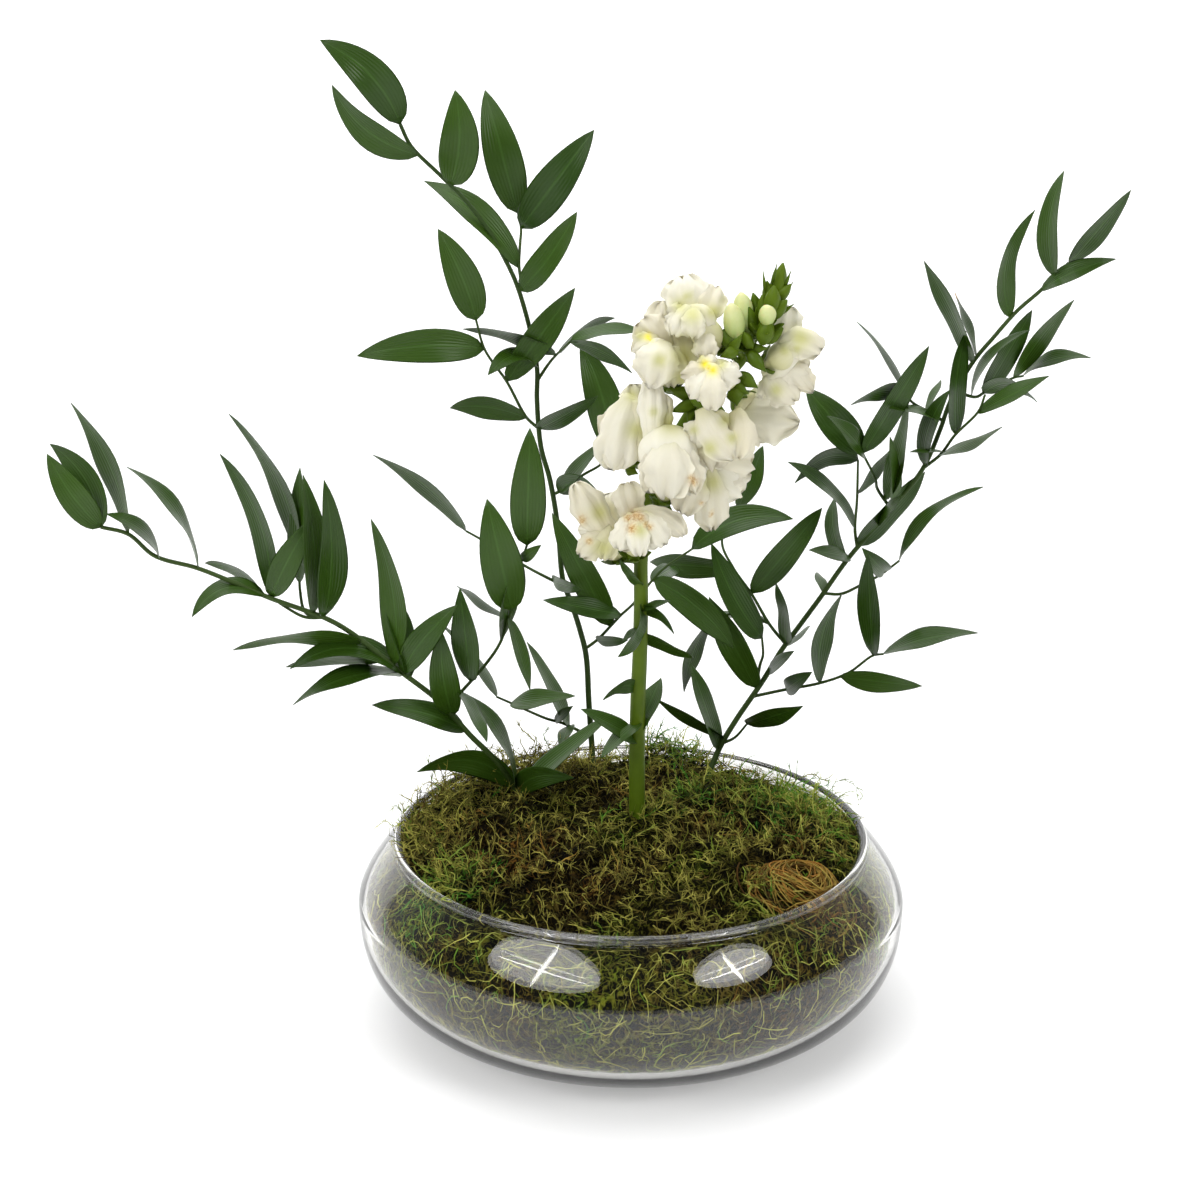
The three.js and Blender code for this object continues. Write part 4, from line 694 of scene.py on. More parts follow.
def bent_line(start, bend, end, count):
    """A parabola from start to end that leaves and arrives along the lines to its bend point."""
    t = np.linspace(0, 1, count)[:, None]
    return (1 - t) ** 2 * start + 2 * t * (1 - t) * bend + t**2 * end


def skins(rings, along, across, tone, *marks):
    """Closed skins, each lofted through its rings and closed by a fan at both ends. The rings come as
    an array of skins, rings, points round and coordinates, anticlockwise from ahead. The other values
    are kept for the material: place along and across, shade of the piece, and up to three marks."""
    count, rows, sides, _ = rings.shape
    kept = [along, across, tone, *marks, 0.0, 0.0, 0.0][:6]
    paint = np.stack([np.broadcast_to(value, (count, rows, sides)) for value in kept], axis=-1)
    side = np.arange(sides)
    a = np.arange(rows - 1)[:, None] * sides + side
    b = np.arange(rows - 1)[:, None] * sides + (side + 1) % sides
    quads = np.stack([a, b, b + sides, a + sides], axis=-1).reshape(-1, 4)
    fan = np.stack([0 * side[2:], side[2:], side[1:-1]], axis=-1)
    fans = np.vstack([fan, fan[:, ::-1] + (rows - 1) * sides])
    start = np.arange(count)[:, None, None] * (rows * sides)
    return dict(
        points=rings.reshape(-1, 3),
        paint=paint.reshape(-1, 6),
        quads=(quads + start).reshape(-1, 4),
        fans=(fans + start).reshape(-1, 3),
    )


def new_object(name, data):
    """An object in the scene."""
    thing = bpy.data.objects.new(name, data)
    bpy.context.collection.objects.link(thing)
    return thing


def make_piece(name, parts, materials, slot, *nodes):
    """One mesh from closed skins. Each part is a skin with the number of its material."""
    first = np.cumsum([0] + [len(skin["points"]) for skin, _ in parts])
    points = np.vstack([skin["points"] for skin, _ in parts]) * MM
    paint = np.vstack([skin["paint"] for skin, _ in parts])
    quads = np.vstack([skin["quads"] + at for (skin, _), at in zip(parts, first)])
    fans = np.vstack([skin["fans"] + at for (skin, _), at in zip(parts, first)])
    finish = np.concatenate(
        [np.full(len(skin[kind]), number) for kind in ("quads", "fans") for skin, number in parts]
    )
    corners = np.concatenate([quads.ravel(), fans.ravel()])
    starts = np.concatenate([4 * np.arange(len(quads)), 4 * len(quads) + 3 * np.arange(len(fans))])
    mesh = bpy.data.meshes.new(name)
    mesh.vertices.add(len(points))
    mesh.vertices.foreach_set("co", points.ravel())
    mesh.loops.add(len(corners))
    mesh.loops.foreach_set("vertex_index", corners)
    mesh.polygons.add(len(starts))
    mesh.polygons.foreach_set("loop_start", starts)
    mesh.polygons.foreach_set("material_index", finish)
    mesh.polygons.foreach_set("use_smooth", np.ones(len(starts), bool))
    mesh.update(calc_edges=True)
    mesh.uv_layers.new(name="along_across").uv.foreach_set("vector", paint[corners, :2].ravel())
    look = mesh.attributes.new("look", "FLOAT_COLOR", "POINT")
    look.data.foreach_set("color", paint[:, 2:].ravel())
    for material in materials:
        mesh.materials.append(material)
    piece = new_object(name, mesh)
    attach(piece, "root")
    if nodes:
        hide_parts(*nodes)
    return piece


def round_rings(line, radii, sides, hint):
    """Circles square to a line, of the given radii, one for each of its points. Their first points lie
    square to the line and to the hint."""
    ahead = unit(np.gradient(line, axis=0))
    side = unit(np.cross(hint, ahead))
    back = np.cross(ahead, side)
    angle = angles(sides)
    ring = side[:, None] * np.cos(angle)[:, None] + back[:, None] * np.sin(angle)[:, None]
    return line[:, None] + ring * np.asarray(radii)[..., None].reshape(len(line), -1, 1)


def lump(line, radii, sides, tone, mark=0.0, furrows=0, depth=0.0, turn=0.0, hint=TUBE_HINT):
    """A round lump along a line. Its radius follows the given ones, and dips by depth times the cosine
    of furrows times the angle, which turns along the way."""
    share = np.linspace(0, 1, len(line))
    radius = np.interp(share, np.linspace(0, 1, len(radii)), radii)
    wave = 1 - depth * (0.5 + 0.5 * np.cos(furrows * angles(sides) + turn * share[:, None]))
    rings = round_rings(line, radius[:, None] * wave, sides, hint)
    around = np.abs(np.linspace(-1, 1, sides, endpoint=False))
    return skins(rings[None], share[:, None], around, tone, mark)


def stalk(line, radii, sides, tone):
    """A round stalk whose radius goes evenly from the first value to the second."""
    return lump(line, radii, sides, tone, hint=(0, 1, 0))


def blade_rings(line, facing, half, thickness, lift, ring):
    """Rings of a thin blade. Each is a flat ellipse: its place across is the half width times the
    cosine of the angle, and its place along the normal is the lift less half the thickness times the
    sine, so the first half of the ring is the underside."""
    ahead = unit(np.gradient(line, axis=0))
    normal = square_to(facing, ahead)
    across = np.cross(ahead, normal)
    rise = lift - 0.5 * thickness * np.sin(ring)
    reach = half[:, None] * np.cos(ring)
    return line[:, None] + across[:, None] * reach[..., None] + normal[:, None] * rise[..., None]


def leaf_half_width(share, width):
    """Half the width of a pointed leaf: the way along to the power of its swell times the way left to
    the power of its taper, scaled so that its greatest value is half the width, and never less than
    the stalk."""
    widest = LEAF_SWELL / (LEAF_SWELL + LEAF_TAPER)
    peak = widest**LEAF_SWELL * (1 - widest) ** LEAF_TAPER
    least = (STALK_WIDTH + (TIP_WIDTH - STALK_WIDTH) * share) / 2
    return np.maximum(least, width / 2 / peak * share**LEAF_SWELL * (1 - share) ** LEAF_TAPER)


def leaf(row, index, lines, rng):
    """A leaf from the nearest stem to where its tip shows. What its real length lacks in the picture
    is its lean to or from the eye, and what its real width lacks is its roll. It bulges to the eye,
    folds along its midrib and waves a little along its edges."""
    side = -1 if index % 2 else 1
    root = nearest_on(lines, row["at"])
    scale = step_size(root)
    chord = float(np.linalg.norm(shown(root) - row["to"])) * scale
    length = max(LEAF_SLACK * chord, row.get("length", LEAF_LEAST_LENGTH))
    lean = math.sqrt(length**2 - chord**2) * row.get("towards", LEAF_LEAN * side)
    tip = seen(*row["to"], root[1] - lean)
    width_seen = row["wide"] * scale
    width = max(width_seen, LEAF_SLENDERNESS * min(length, LEAF_SLENDER_LENGTH))
    roll = math.acos(width_seen / width) * side
    _, facing, right = eye_frame(root, tip)
    bulge = 2 * LEAF_BULGE * length * math.cos(roll)
    middle = (root + tip) / 2 + right * 2 * row.get("arch", 0) * scale + facing * bulge
    normal = facing * math.cos(roll) + right * math.sin(roll)
    share = np.linspace(0, 1, LEAF_ROWS)
    half = leaf_half_width(share, width)
    ring = angles(LEAF_SIDES)
    place = np.cos(ring)
    fold = row.get("fold", LEAF_FOLD) * (np.sqrt(place**2 + FOLD_SOFTNESS) - FOLD_DROP) * half[:, None]
    phase, strength = rng.uniform(0, 2 * math.pi), rng.uniform(*LEAF_WAVE_SIZES)
    wave = strength * np.sin(2 * math.pi * LEAF_WAVES * share + phase)[:, None] * half[:, None] * place
    line = bent_line(root, middle, tip, LEAF_ROWS)
    rings = blade_rings(line, normal, half, LEAF_THICKNESS, fold + wave, ring)
    under = np.clip(3 * np.sin(ring), 0, 1)
    tipped = row.get("tipped", 0) * np.clip((share - 0.86) / 0.06, 0, 1)[:, None]
    return skins(rings[None], share[:, None], place, rng.uniform(0, 1), under, tipped)


def branch_lines(branch):
    """The lines of a branch: its stem, from its buried end, and the twigs that fork from what is there."""
    lines = [smooth_line([branch["root"], *seen_path(branch["stem"], *branch["depth"])])]
    for twig in branch["twigs"]:
        fork = nearest_on(lines, twig["path"][0])
        path = seen_path(twig["path"][1:], fork[1], fork[1] - twig["lean"])
        lines.append(smooth_line([fork, *path]))
    return lines


def branch_piece(name, branch, materials):
    """A ruscus branch: stem, twigs with their joints, and leaves, grown as one piece."""
    rng = np.random.default_rng(SEED + len(branch["leaves"]))
    lines = branch_lines(branch)
    parts = []
    for number, line in enumerate(lines):
        radii = TWIG_RADII if number else STEM_RADII
        parts.append((stalk(line, radii, STEM_SIDES, rng.uniform(0, 1)), 1))
    for index, row in enumerate(branch["leaves"]):
        parts.append((leaf(row, index, lines, rng), 0))
    return make_piece(name, parts, materials, "ruscus_leaf", name)


def bloom_axis(row):
    """The base of a bloom or bud, its mouth, and the way from one to the other."""
    base, mouth = seen(*row["calyx"]), seen(*row["mouth"])
    return base, mouth, unit(mouth - base)


def petal_half_width(share, row, width, phase):
    """Half the width of a petal: it widens from its claw by a quarter sine, and closes to a round or a
    pointed end, with a slow unevenness along its edges."""
    swelling = PETAL_CLAW + (1 - PETAL_CLAW) * np.sin(np.clip(share / 0.65, 0, 1) * math.pi / 2)
    left = 1 - np.clip((share - 0.55) / 0.45, 0, 1) ** 2.8
    end = left ** (0.42 + 0.5 * row.get("point", 0))
    uneven = 1 + 0.07 * np.sin(13 * share + phase) + 0.05 * np.sin(29 * share - phase)
    return np.maximum(0.25, width / 2 * swelling * end * uneven)


def petal_rings(row, rng):
    """A petal between two places and depths. It bulges to the eye, its sides turn back, and folds run
    along it. Its edge is ruffled by waves across and along that grow outwards, and is a little ragged."""
    root, tip = seen(*row["at"]), seen(*row["to"])
    scale = step_size(tip)
    ahead, facing, right = eye_frame(root, tip)
    bend = (root + tip) / 2 + 2 * row.get("bulge", 2) * facing + 2 * row.get("arch", 0) * scale * right
    share = np.linspace(0, 1, PETAL_ROWS)
    half = petal_half_width(share, row, row["wide"] * scale, rng.uniform(0, 2 * math.pi))
    half[-1] = 0.6 * half[-2]
    ring = angles(PETAL_SIDES)
    place = np.cos(ring)
    waves, turn, drift = rng.uniform(1.8, 3.2), rng.uniform(0, 2 * math.pi), rng.uniform(-3, 3)
    outer = (share**1.3)[:, None]
    folds = np.sin(math.pi * waves * place + turn + drift * share[:, None]) * outer
    edge = np.sin(17 * share[:, None] + 2 * turn + np.sign(place)) * np.abs(place) ** 3 * outer
    fine = np.sin(5.3 * math.pi * place + 9 * share[:, None] + turn) * (share**2)[:, None]
    sides = np.abs(place) ** 2 * (0.15 + 0.3 * share[:, None])
    curl = 0.5 * np.clip((share - 0.75) / 0.25, 0, 1)[:, None] ** 2 * rng.uniform(-0.5, 1)
    ruffle = PETAL_RUFFLE * folds + PETAL_EDGE_WAVE * edge + PETAL_FINE_WAVE * fine
    lift = half.max() * (ruffle - curl) - half[:, None] * sides
    line = bent_line(root, bend, tip, PETAL_ROWS)
    line[-1] = line[-2] + 0.2 * (line[-1] - line[-2])
    rings = blade_rings(line, facing, half, PETAL_THICKNESS, lift, ring)
    notch = np.sin(2.6 * math.pi * place + turn) + 0.6 * np.sin(6.3 * math.pi * place - turn)
    rag = PETAL_RAG * half[:, None] * notch * (1 - np.abs(place)) * (share**3)[:, None]
    rag[-1] = rag[-2]
    return rings + rag[..., None] * ahead


def pouch_rings(row):
    """A swollen pouch between two places: round across, with a shallow furrow down its front, and its
    radius is the root of one less the distance from its middle to the power 2.4."""
    root, tip = seen(*row["at"]), seen(*row["to"])
    share = np.linspace(0.01, 0.99, 20)
    radius = row["wide"] / 2 * step_size(tip) * (1 - np.abs(2 * share - 1) ** 2.4) ** 0.5
    line = root + share[:, None] * (tip - root)
    _, facing, right = eye_frame(root, tip)
    angle = angles(PETAL_SIDES)
    folds = 0.05 * np.sin(5 * angle + 6 * share[:, None]) + 0.03 * np.sin(9 * angle - 11 * share[:, None])
    furrow = 1 + folds - 0.2 * bell(angle - 1.5 * math.pi, 0.35)
    ring = right * np.cos(angle)[:, None] - 0.72 * facing * np.sin(angle)[:, None]
    return line[:, None] + ring * (furrow * radius[:, None])[..., None]


def near_places(points, places):
    """How near points show to any of some places: a bell curve of the distance over each reach."""
    share = np.zeros(points.shape[:-1])
    for across, down, reach in places:
        gap = np.linalg.norm(shown(points) - (across, down), axis=-1)
        share = np.maximum(share, bell(gap, reach))
    return share


def painted(rings, row, shade, throat=0.0):
    """A part of a bloom with its green, yellow and brown places."""
    green, yellow, brown = (near_places(rings, row.get(mark, ())) for mark in ("green", "yellow", "brown"))
    along = np.linspace(0, 1, len(rings))[:, None]
    across = np.cos(angles(rings.shape[1]))
    return skins(rings[None], along, across, shade, np.maximum(throat, green), yellow, brown)


def bloom_piece(name, row, materials):
    """An open bloom: its tube, its petals, and the swollen pouches of its lower lip."""
    rng = np.random.default_rng(SEED + int(row["mouth"][0]))
    base, mouth, ahead = bloom_axis(row)
    start = base + ahead * (CALYX_LENGTH + GAP)
    share = np.linspace(0, 1, 14)
    line = start + (mouth - start) * share[:, None]
    radius = np.interp(share, np.linspace(0, 1, len(TUBE_RADII)), TUBE_RADII)
    tube = round_rings(line, radius, TUBE_SIDES, TUBE_HINT)
    parts = [painted(tube, row, 0.3, (0.9 - 0.5 * share)[:, None])]
    for one in row["petals"]:
        throat = np.clip(0.5 - 1.6 * np.linspace(0, 1, PETAL_ROWS), 0, 1)[:, None]
        parts.append(painted(petal_rings(one, rng), row, rng.uniform(0, 1), throat))
    for one in row.get("pouches", ()):
        parts.append(painted(pouch_rings(one), row, rng.uniform(0.3, 1)))
    return make_piece(
        f"bloom_{name}", [(part, 0) for part in parts], materials, "white_petal", f"bloom_{name}"
    )


def leaflet(line, facing, half, fold, sides, tone):
    """A small folded leaf: its lift is the half width times the fold times the square of the cosine
    of the angle, which is the place across."""
    ring = angles(sides)
    lift = half[:, None] * fold * np.cos(ring) ** 2
    rings = blade_rings(line, facing, half, SEPAL_THICKNESS, lift, ring)
    return skins(rings[None], np.linspace(0, 1, len(line))[:, None], np.cos(ring), tone)


def calyx(row, lines, rng):
    """A green stalk from the stem and five pointed sepals that clasp the foot of the tube."""
    base, _, ahead = bloom_axis(row)
    stem = nearest_on(lines, row["calyx"][:2])
    bend = (stem + base) / 2 + np.array([0, 0, 1.5])
    foot = bent_line(stem, bend, base + ahead, 8)
    cup = base + ahead * np.linspace(0, CALYX_LENGTH, 5)[:, None]
    parts = [stalk(foot, CALYX_STALK, CALYX_STALK_SIDES, rng.uniform(0, 1))]
    parts.append(lump(cup, CALYX_RADII, CALYX_SIDES, rng.uniform(0, 1)))
    side = unit(np.cross(TUBE_HINT, ahead))
    back = np.cross(ahead, side)
    share = np.linspace(0, 1, 9)
    for angle in angles(SEPALS):
        out = side * math.cos(angle) + back * math.sin(angle)
        start = base + ahead * 1.2 + out * 2.2
        bend = base + ahead * 3.5 + out * 6.4
        end = base + ahead * (SEPAL_LENGTH - 1) + out * 7.6
        half = np.maximum(0.25, SEPAL_WIDTH / 2 * np.sin(math.pi * (0.2 + 0.8 * share)) ** 0.8)
        line = bent_line(start, bend, end, len(share))
        parts.append(leaflet(line, -out, half, 0.25, SEPAL_SIDES, rng.uniform(0, 1)))
    return parts


def bud_piece(name, row, materials):
    """A pale bud: a lump with three furrows that turn round it where the folded petals meet."""
    base, mouth, ahead = bloom_axis(row)
    start = base + ahead * (CALYX_LENGTH + GAP)
    share = min(1, float(np.linalg.norm(mouth - start)) / 20)
    radii = [radius * (0.55 + 0.45 * share) for radius in BUD_RADII]
    line = start + (mouth - start) * np.linspace(0, 1, 20)[:, None]
    green = np.linspace(1, 0, 20)[:, None]
    body = lump(line, radii, BUD_SIDES, 0.5, green, furrows=3, depth=0.12, turn=2.4)
    return make_piece(f"bud_{name}", [(body, 0)], materials, "pale_bud", f"bud_{name}")


def green_bud(row, rng):
    """A green bud from its foot to its point, with four low furrows where its sepals meet."""
    root, tip = seen(*row["at"], row["depth"]), seen(*row["to"], row["depth"] - 3)
    line = root + (tip - root) * np.linspace(0, 1, 12)[:, None]
    radii = [share * row["wide"] / 2 * step_size(root) for share in GREEN_BUD_SHAPE]
    tone = rng.uniform(0.2, 1)
    return lump(line, radii, GREEN_BUD_SIDES, tone, furrows=4, depth=0.12, turn=1.2)


def bract(row, rng):
    """A small pointed green leaf, folded along its middle and curved to the eye."""
    root, tip = seen(*row["at"], row["depth"]), seen(*row["to"], row["depth"] - 3)
    share = np.linspace(0, 1, 9)
    _, facing, _ = eye_frame(root, tip)
    half = np.maximum(0.2, row["wide"] / 2 * step_size(root) * np.sin(math.pi * (0.22 + 0.78 * share)))
    line = bent_line(root, (root + tip) / 2 + 3 * facing, tip, len(share))
    return leaflet(line, -facing, half, 0.4, BRACT_SIDES, rng.uniform(0, 0.7))


def snapdragon_piece(materials):
    """The snapdragon's stem with its low leaves, the calyxes and the green tip, grown as one piece."""
    rng = np.random.default_rng(SEED)
    lines = branch_lines(SNAPDRAGON)
    parts = [stalk(lines[0], SNAPDRAGON_RADII, SNAPDRAGON_SIDES, 0.5)]
    for row in [*BLOOMS.values(), *BUDS.values()]:
        parts.extend(calyx(row, lines, rng))
    parts.extend(green_bud(row, rng) for row in GREEN_TIP)
    parts.extend(bract(row, rng) for row in BRACTS)
    parts = [(part, 0) for part in parts]
    for index, row in enumerate(SNAPDRAGON["leaves"]):
        parts.append((leaf(row, index, lines, rng), 1))
    return make_piece("snapdragon_stem", parts, materials, "snapdragon_green", "snapdragon_stem")


def bowl_line(inset, floor, steps=40):
    """The side of the bowl from its foot to below its lip, as rows of (radius, height). The belly is a
    quarter of a superellipse, and the shoulder draws in by the way up to the shoulder power."""
    radius = BOWL_RADIUS - inset
    angle = np.linspace(0, math.pi / 2, steps)
    out = np.sin(angle) ** (2 / BELLY_SQUARENESS)
    up = np.cos(angle) ** (2 / BELLY_SQUARENESS)
    belly = np.stack(
        [FOOT_RADIUS + (radius - FOOT_RADIUS) * out, BELLY_HEIGHT - (BELLY_HEIGHT - floor) * up], axis=1
    )
    share = np.linspace(0, 1, steps // 2)[1:]
    top, mouth = BOWL_HEIGHT - RIM_BEAD, RIM_RADIUS + RIM_BEAD - 1 - inset
    shoulder = np.stack(
        [radius - (radius - mouth) * share**SHOULDER_CURVE, BELLY_HEIGHT + (top - BELLY_HEIGHT) * share],
        axis=1,
    )
    return np.vstack([belly, shoulder])


def turned(profile, sides):
    """Rings of a profile of (radius, height) turned about the upright axis."""
    angle = angles(sides)
    circle = np.stack([np.cos(angle), np.sin(angle)], axis=1)
    flat = profile[:, None, :1] * circle
    height = np.broadcast_to(profile[:, None, 1:], (len(profile), sides, 1))
    return np.concatenate([flat, height], axis=2)


def bowl_piece(glass, rim):
    """The glass bowl: its outer side, a round bead for a lip, and its inner side, turned as one skin.
    The bead takes the material of the rim."""
    outer = bowl_line(0, 0)
    inner = bowl_line(WALL, BOTTOM_THICKNESS)
    angle = np.linspace(0.12, 0.88, 9) * math.pi
    bead = np.stack(
        [RIM_RADIUS + RIM_BEAD * np.cos(angle), BOWL_HEIGHT - RIM_BEAD + RIM_BEAD * np.sin(angle)], axis=1
    )
    foot = np.array([(radius, 0.0) for radius in FOOT_RINGS])
    floor = foot[::-1] + (0, BOTTOM_THICKNESS)
    profile = np.vstack([foot, outer, bead, inner[::-1], floor])
    skin = skins(turned(profile, BOWL_SIDES)[None], 0.0, 0.0, 0.5)
    piece = make_piece("glass_bowl", [(skin, 0)], [glass, rim], "clear_glass", "glass_bowl")
    first = (len(foot) + len(outer) - 1) * BOWL_SIDES
    finish = np.zeros(len(piece.data.polygons), int)
    finish[first:first + (len(bead) + 1) * BOWL_SIDES] = 1
    piece.data.polygons.foreach_set("material_index", finish)
    return piece


def moss_top(x, y):
    """The height of the moss: a low mound that falls by the fourth power of the radius, with tufts."""
    radius = np.hypot(x, y)
    tufts = np.sin(x / 11 + 1) * np.cos(y / 13) + 0.6 * np.sin(x / 6 - y / 7)
    fall = MOSS_FALL * (radius / MOSS_EDGE_RADIUS) ** 4
    return MOSS_HEIGHT - fall + MOSS_LUMP * tufts * (1 - 0.7 * (radius / MOSS_EDGE_RADIUS) ** 6)


def clumps(x, y):
    """The rise and fall of the loose moss over its bed, from -1 in a hollow to 1 on a clump: ridges
    of two sizes, each bent by a wave across it."""
    broad = np.sin(x / 5.6 + 2.2 * np.sin(y / 10)) * np.sin(y / 4.6 + 2.2 * np.sin(x / 9))
    fine = np.sin(x / 2.3 - 2 * np.sin(y / 4)) * np.sin(y / 2.1 + 2 * np.sin(x / 5))
    return np.clip(0.75 * broad + 0.45 * fine, -1, 1)


def bed_top(x, y):
    """The height of the bed under the loose moss, which rises and falls with its clumps."""
    return moss_top(x, y) - BED_DEPTH + MOSS_CLUMP * clumps(x, y)


def moss_bed_piece(material):
    """The dark ground of the moss: the wall's line pulled in by lumps, and the tufted top. It keeps a
    painted shade for the hollows between the clumps, and which part is the wall, where it is painted
    lighter.
    """
    wall = bowl_line(WALL + GAP, BOTTOM_THICKNESS + GAP)[:-BED_BELOW_LIP]
    rings = turned(wall, MOSS_SIDES)
    angle = angles(MOSS_SIDES)
    rise = wall[:, 1:]
    lumps = np.sin(17 * angle + rise / 5) * np.sin(rise / 3.1 + 5 * angle) + np.sin(41 * angle - rise / 2)
    pull = 1 - (1.0 + 0.4 * lumps) / wall[:, :1]
    rings[..., :2] *= pull[..., None]
    radii = np.linspace(MOSS_EDGE_RADIUS, 4, 70)
    x, y = radii[:, None] * np.cos(angle), radii[:, None] * np.sin(angle)
    top = np.stack([x, y, bed_top(x, y)], axis=-1)
    rings = np.concatenate([rings, top])
    shade = np.minimum(moss_tone(rings[..., 0], rings[..., 1]), 0.66)
    # A painted shade in the hollows between the clumps of the top, and none on the wall
    hollow_shade = (1 - clumps(rings[..., 0], rings[..., 1])) / 2
    by_wall = (np.arange(len(rings)) < len(wall))[:, None]
    skin = skins(rings[None], 0.0, 0.0, shade, np.where(by_wall, 0, hollow_shade), by_wall)
    return make_piece("moss_ground", [(skin, 0)], [material], "moss", "moss_bed")


def frond_skins(lines, width, tone, light, painted_shade):
    """Thin moss fronds: three-sided skins along their lines, which thin out to the tip. They keep how far
    along they are, the share of a painted highlight on the frond, and the painted shade of each point,
    darker the deeper it lies in the moss."""
    _, rows, _ = lines.shape
    ahead = unit(np.gradient(lines, axis=1))
    side = unit(np.cross(ahead, (0.31, 0.2, 0.93)))
    back = np.cross(ahead, side)
    share = np.linspace(0, 1, rows)[:, None]
    angle = angles(3)
    radius = (width / 2)[:, None, None] * (1.05 - 0.8 * share**2)
    ring = side[:, :, None] * np.cos(angle)[:, None] + back[:, :, None] * np.sin(angle)[:, None]
    rings = lines[:, :, None] + ring * radius[..., None]
    return skins(rings, share, 0.0, tone[:, None, None], share, light[:, None, None], painted_shade[..., None])


def wandering(count, curl, rng):
    """A heading for each step of each frond: an even turn and a small random walk."""
    turn = rng.normal(0, curl, (count, 1)) * np.arange(FROND_ROWS)
    stray = np.cumsum(rng.normal(0, curl / 2, (count, FROND_ROWS)), axis=1)
    return turn + stray


def brown_share(x, y):
    """How much places lie in the brown part of the moss: a bell curve of their distance from it."""
    middle = on_moss(BROWN_MOSS["at"])
    return bell(np.hypot(x - middle[0], y - middle[1]), BROWN_MOSS["reach"])


def moss_tone(x, y):
    """The shade of the moss from brown, 0, to bright green, 1: broad waves over the bed, and one brown
    part."""
    waves = np.sin(x / 21 + 2.2) * np.cos(y / 17 + 0.4) + 0.7 * np.sin(x / 9 - y / 12 + 1)
    return np.clip(MOSS_TONE + MOSS_TONE_WAVE * waves - BROWN_MOSS["darker"] * brown_share(x, y), 0, 1)


def depth_shade(lines, crown):
    """The painted shade of points in the moss, by their depth: 0 at the height of its clumps and 1 a
    hollow's depth below. The crown is how much higher a heap of moss stands there, and the brown part
    counts as deeper, so that it is painted darker."""
    top = moss_top(lines[..., 0], lines[..., 1]) + MOSS_CLUMP / 3 + crown
    top = top + BROWN_MOSS["depth_shade"] * brown_share(lines[..., 0], lines[..., 1])
    return np.clip((top - lines[..., 2]) / HOLLOW_DEPTH, 0, 1)


def top_fronds(x, y, lift, length, rise, rng, crown=0.0):
    """Fronds that grow every way from the top of the moss at given places, raised by the lift, and the
    painted shade of each of their points by how deep in the moss it lies."""
    count = len(x)
    heading = rng.uniform(0, 2 * math.pi, (count, 1)) + wandering(count, TOP_CURL, rng)
    slope = rng.uniform(*rise, (count, 1)) - 0.22 * np.arange(FROND_ROWS)
    slope = slope + 0.6 * wandering(count, TOP_CURL, rng)
    step = rng.uniform(*length, (count, 1, 1)) / FROND_ROWS
    way = np.stack(
        [np.cos(slope) * np.cos(heading), np.cos(slope) * np.sin(heading), np.sin(slope)], axis=-1
    )
    start = np.stack([x, y, bed_top(x, y) + lift], axis=-1)
    lines = inside_bowl(start[:, None] + np.cumsum(way * step, axis=1))
    return lines, depth_shade(lines, 0.7 * crown)


def spread_places(count, rng):
    """Places spread evenly over the top of the moss, as far as the lip of the bowl."""
    radius = (MOSS_EDGE_RADIUS + 2) * np.sqrt(rng.uniform(0, 1, count))
    angle = rng.uniform(0, 2 * math.pi, count)
    return radius * np.cos(angle), radius * np.sin(angle)


def patch_fronds(patch, rng):
    """Fronds heaped round one place that shows in the picture."""
    centre = on_moss(patch["at"])
    x, y = (centre + rng.normal(0, patch["reach"] / 2, (patch["count"], 2))).T
    crown = patch["lift"] * bell(np.hypot(x - centre[0], y - centre[1]), 0.9 * patch["reach"])
    lift = crown * rng.uniform(0, 1, patch["count"]) ** 0.7
    return top_fronds(x, y, lift, PATCH_FROND_LENGTHS, patch["rise"], rng, crown[:, None])


def coir_threads(rng):
    """The nest of coir: long threads that run part of the way round its middle, over and under each other,
    and a painted shade on each, darker the deeper it lies. The nest is a dome: its height is the root of
    one less the radius squared."""
    middle = on_moss(COIR["at"])
    radius = COIR["reach"] * rng.uniform(0.15, 1, (COIR_THREADS, 1)) ** 0.7
    sweep = rng.uniform(1.2, 3.6, (COIR_THREADS, 1)) * np.linspace(0, 1, COIR["rows"])
    angle = rng.uniform(0, 2 * math.pi, (COIR_THREADS, 1)) + sweep
    wave = 1 + 0.16 * np.sin(2.3 * angle + rng.uniform(0, 2 * math.pi, (COIR_THREADS, 1)))
    off = rng.normal(0, COIR["reach"] / 7, (COIR_THREADS, 2, 1))
    x = middle[0] + off[:, 0] + radius * wave * np.cos(angle)
    y = middle[1] + off[:, 1] + radius * wave * np.sin(angle)
    away = np.hypot(x - middle[0], y - middle[1]) / COIR["reach"]
    depth = rng.uniform(0, 1, (COIR_THREADS, 1)) ** 1.5
    dome = COIR["lift"] * np.sqrt(np.clip(1 - away**2, 0, 1)) * (1 - 0.6 * depth)
    height = moss_top(x, y) + dome + 0.6 * np.sin(3 * angle + 9 * depth)
    return inside_bowl(np.stack([x, y, height], axis=-1)), np.broadcast_to(depth**0.7, x.shape)


def strands(rng):
    """Single strands that stand out over the rim, each through its places in the picture."""
    lines = [smooth_line(seen_path(row["path"], row["depth"], row["depth"])) for row in STRANDS]
    lines = np.stack([spaced(line, STRAND_ROWS) for line in lines])
    lines = lines + rng.normal(0, 0.25, lines.shape)
    return lines, np.zeros(lines.shape[:2])


def inside_bowl(lines):
    """Draws fronds in where they would pass through the glass of the bottom, shoulder or lip."""
    lines = lines.copy()
    lines[..., 2] = np.maximum(lines[..., 2], BOTTOM_THICKNESS + 0.8)
    side = bowl_line(WALL + 0.8, BOTTOM_THICKNESS + 0.4)
    room = np.interp(lines[..., 2], side[:, 1], side[:, 0])
    room = np.where(lines[..., 2] > BOWL_HEIGHT + 1, MOSS_EDGE_RADIUS + 10, room)
    radius = np.hypot(lines[..., 0], lines[..., 1])
    lines[..., :2] *= np.minimum(1, room / np.maximum(radius, 1))[..., None]
    return lines


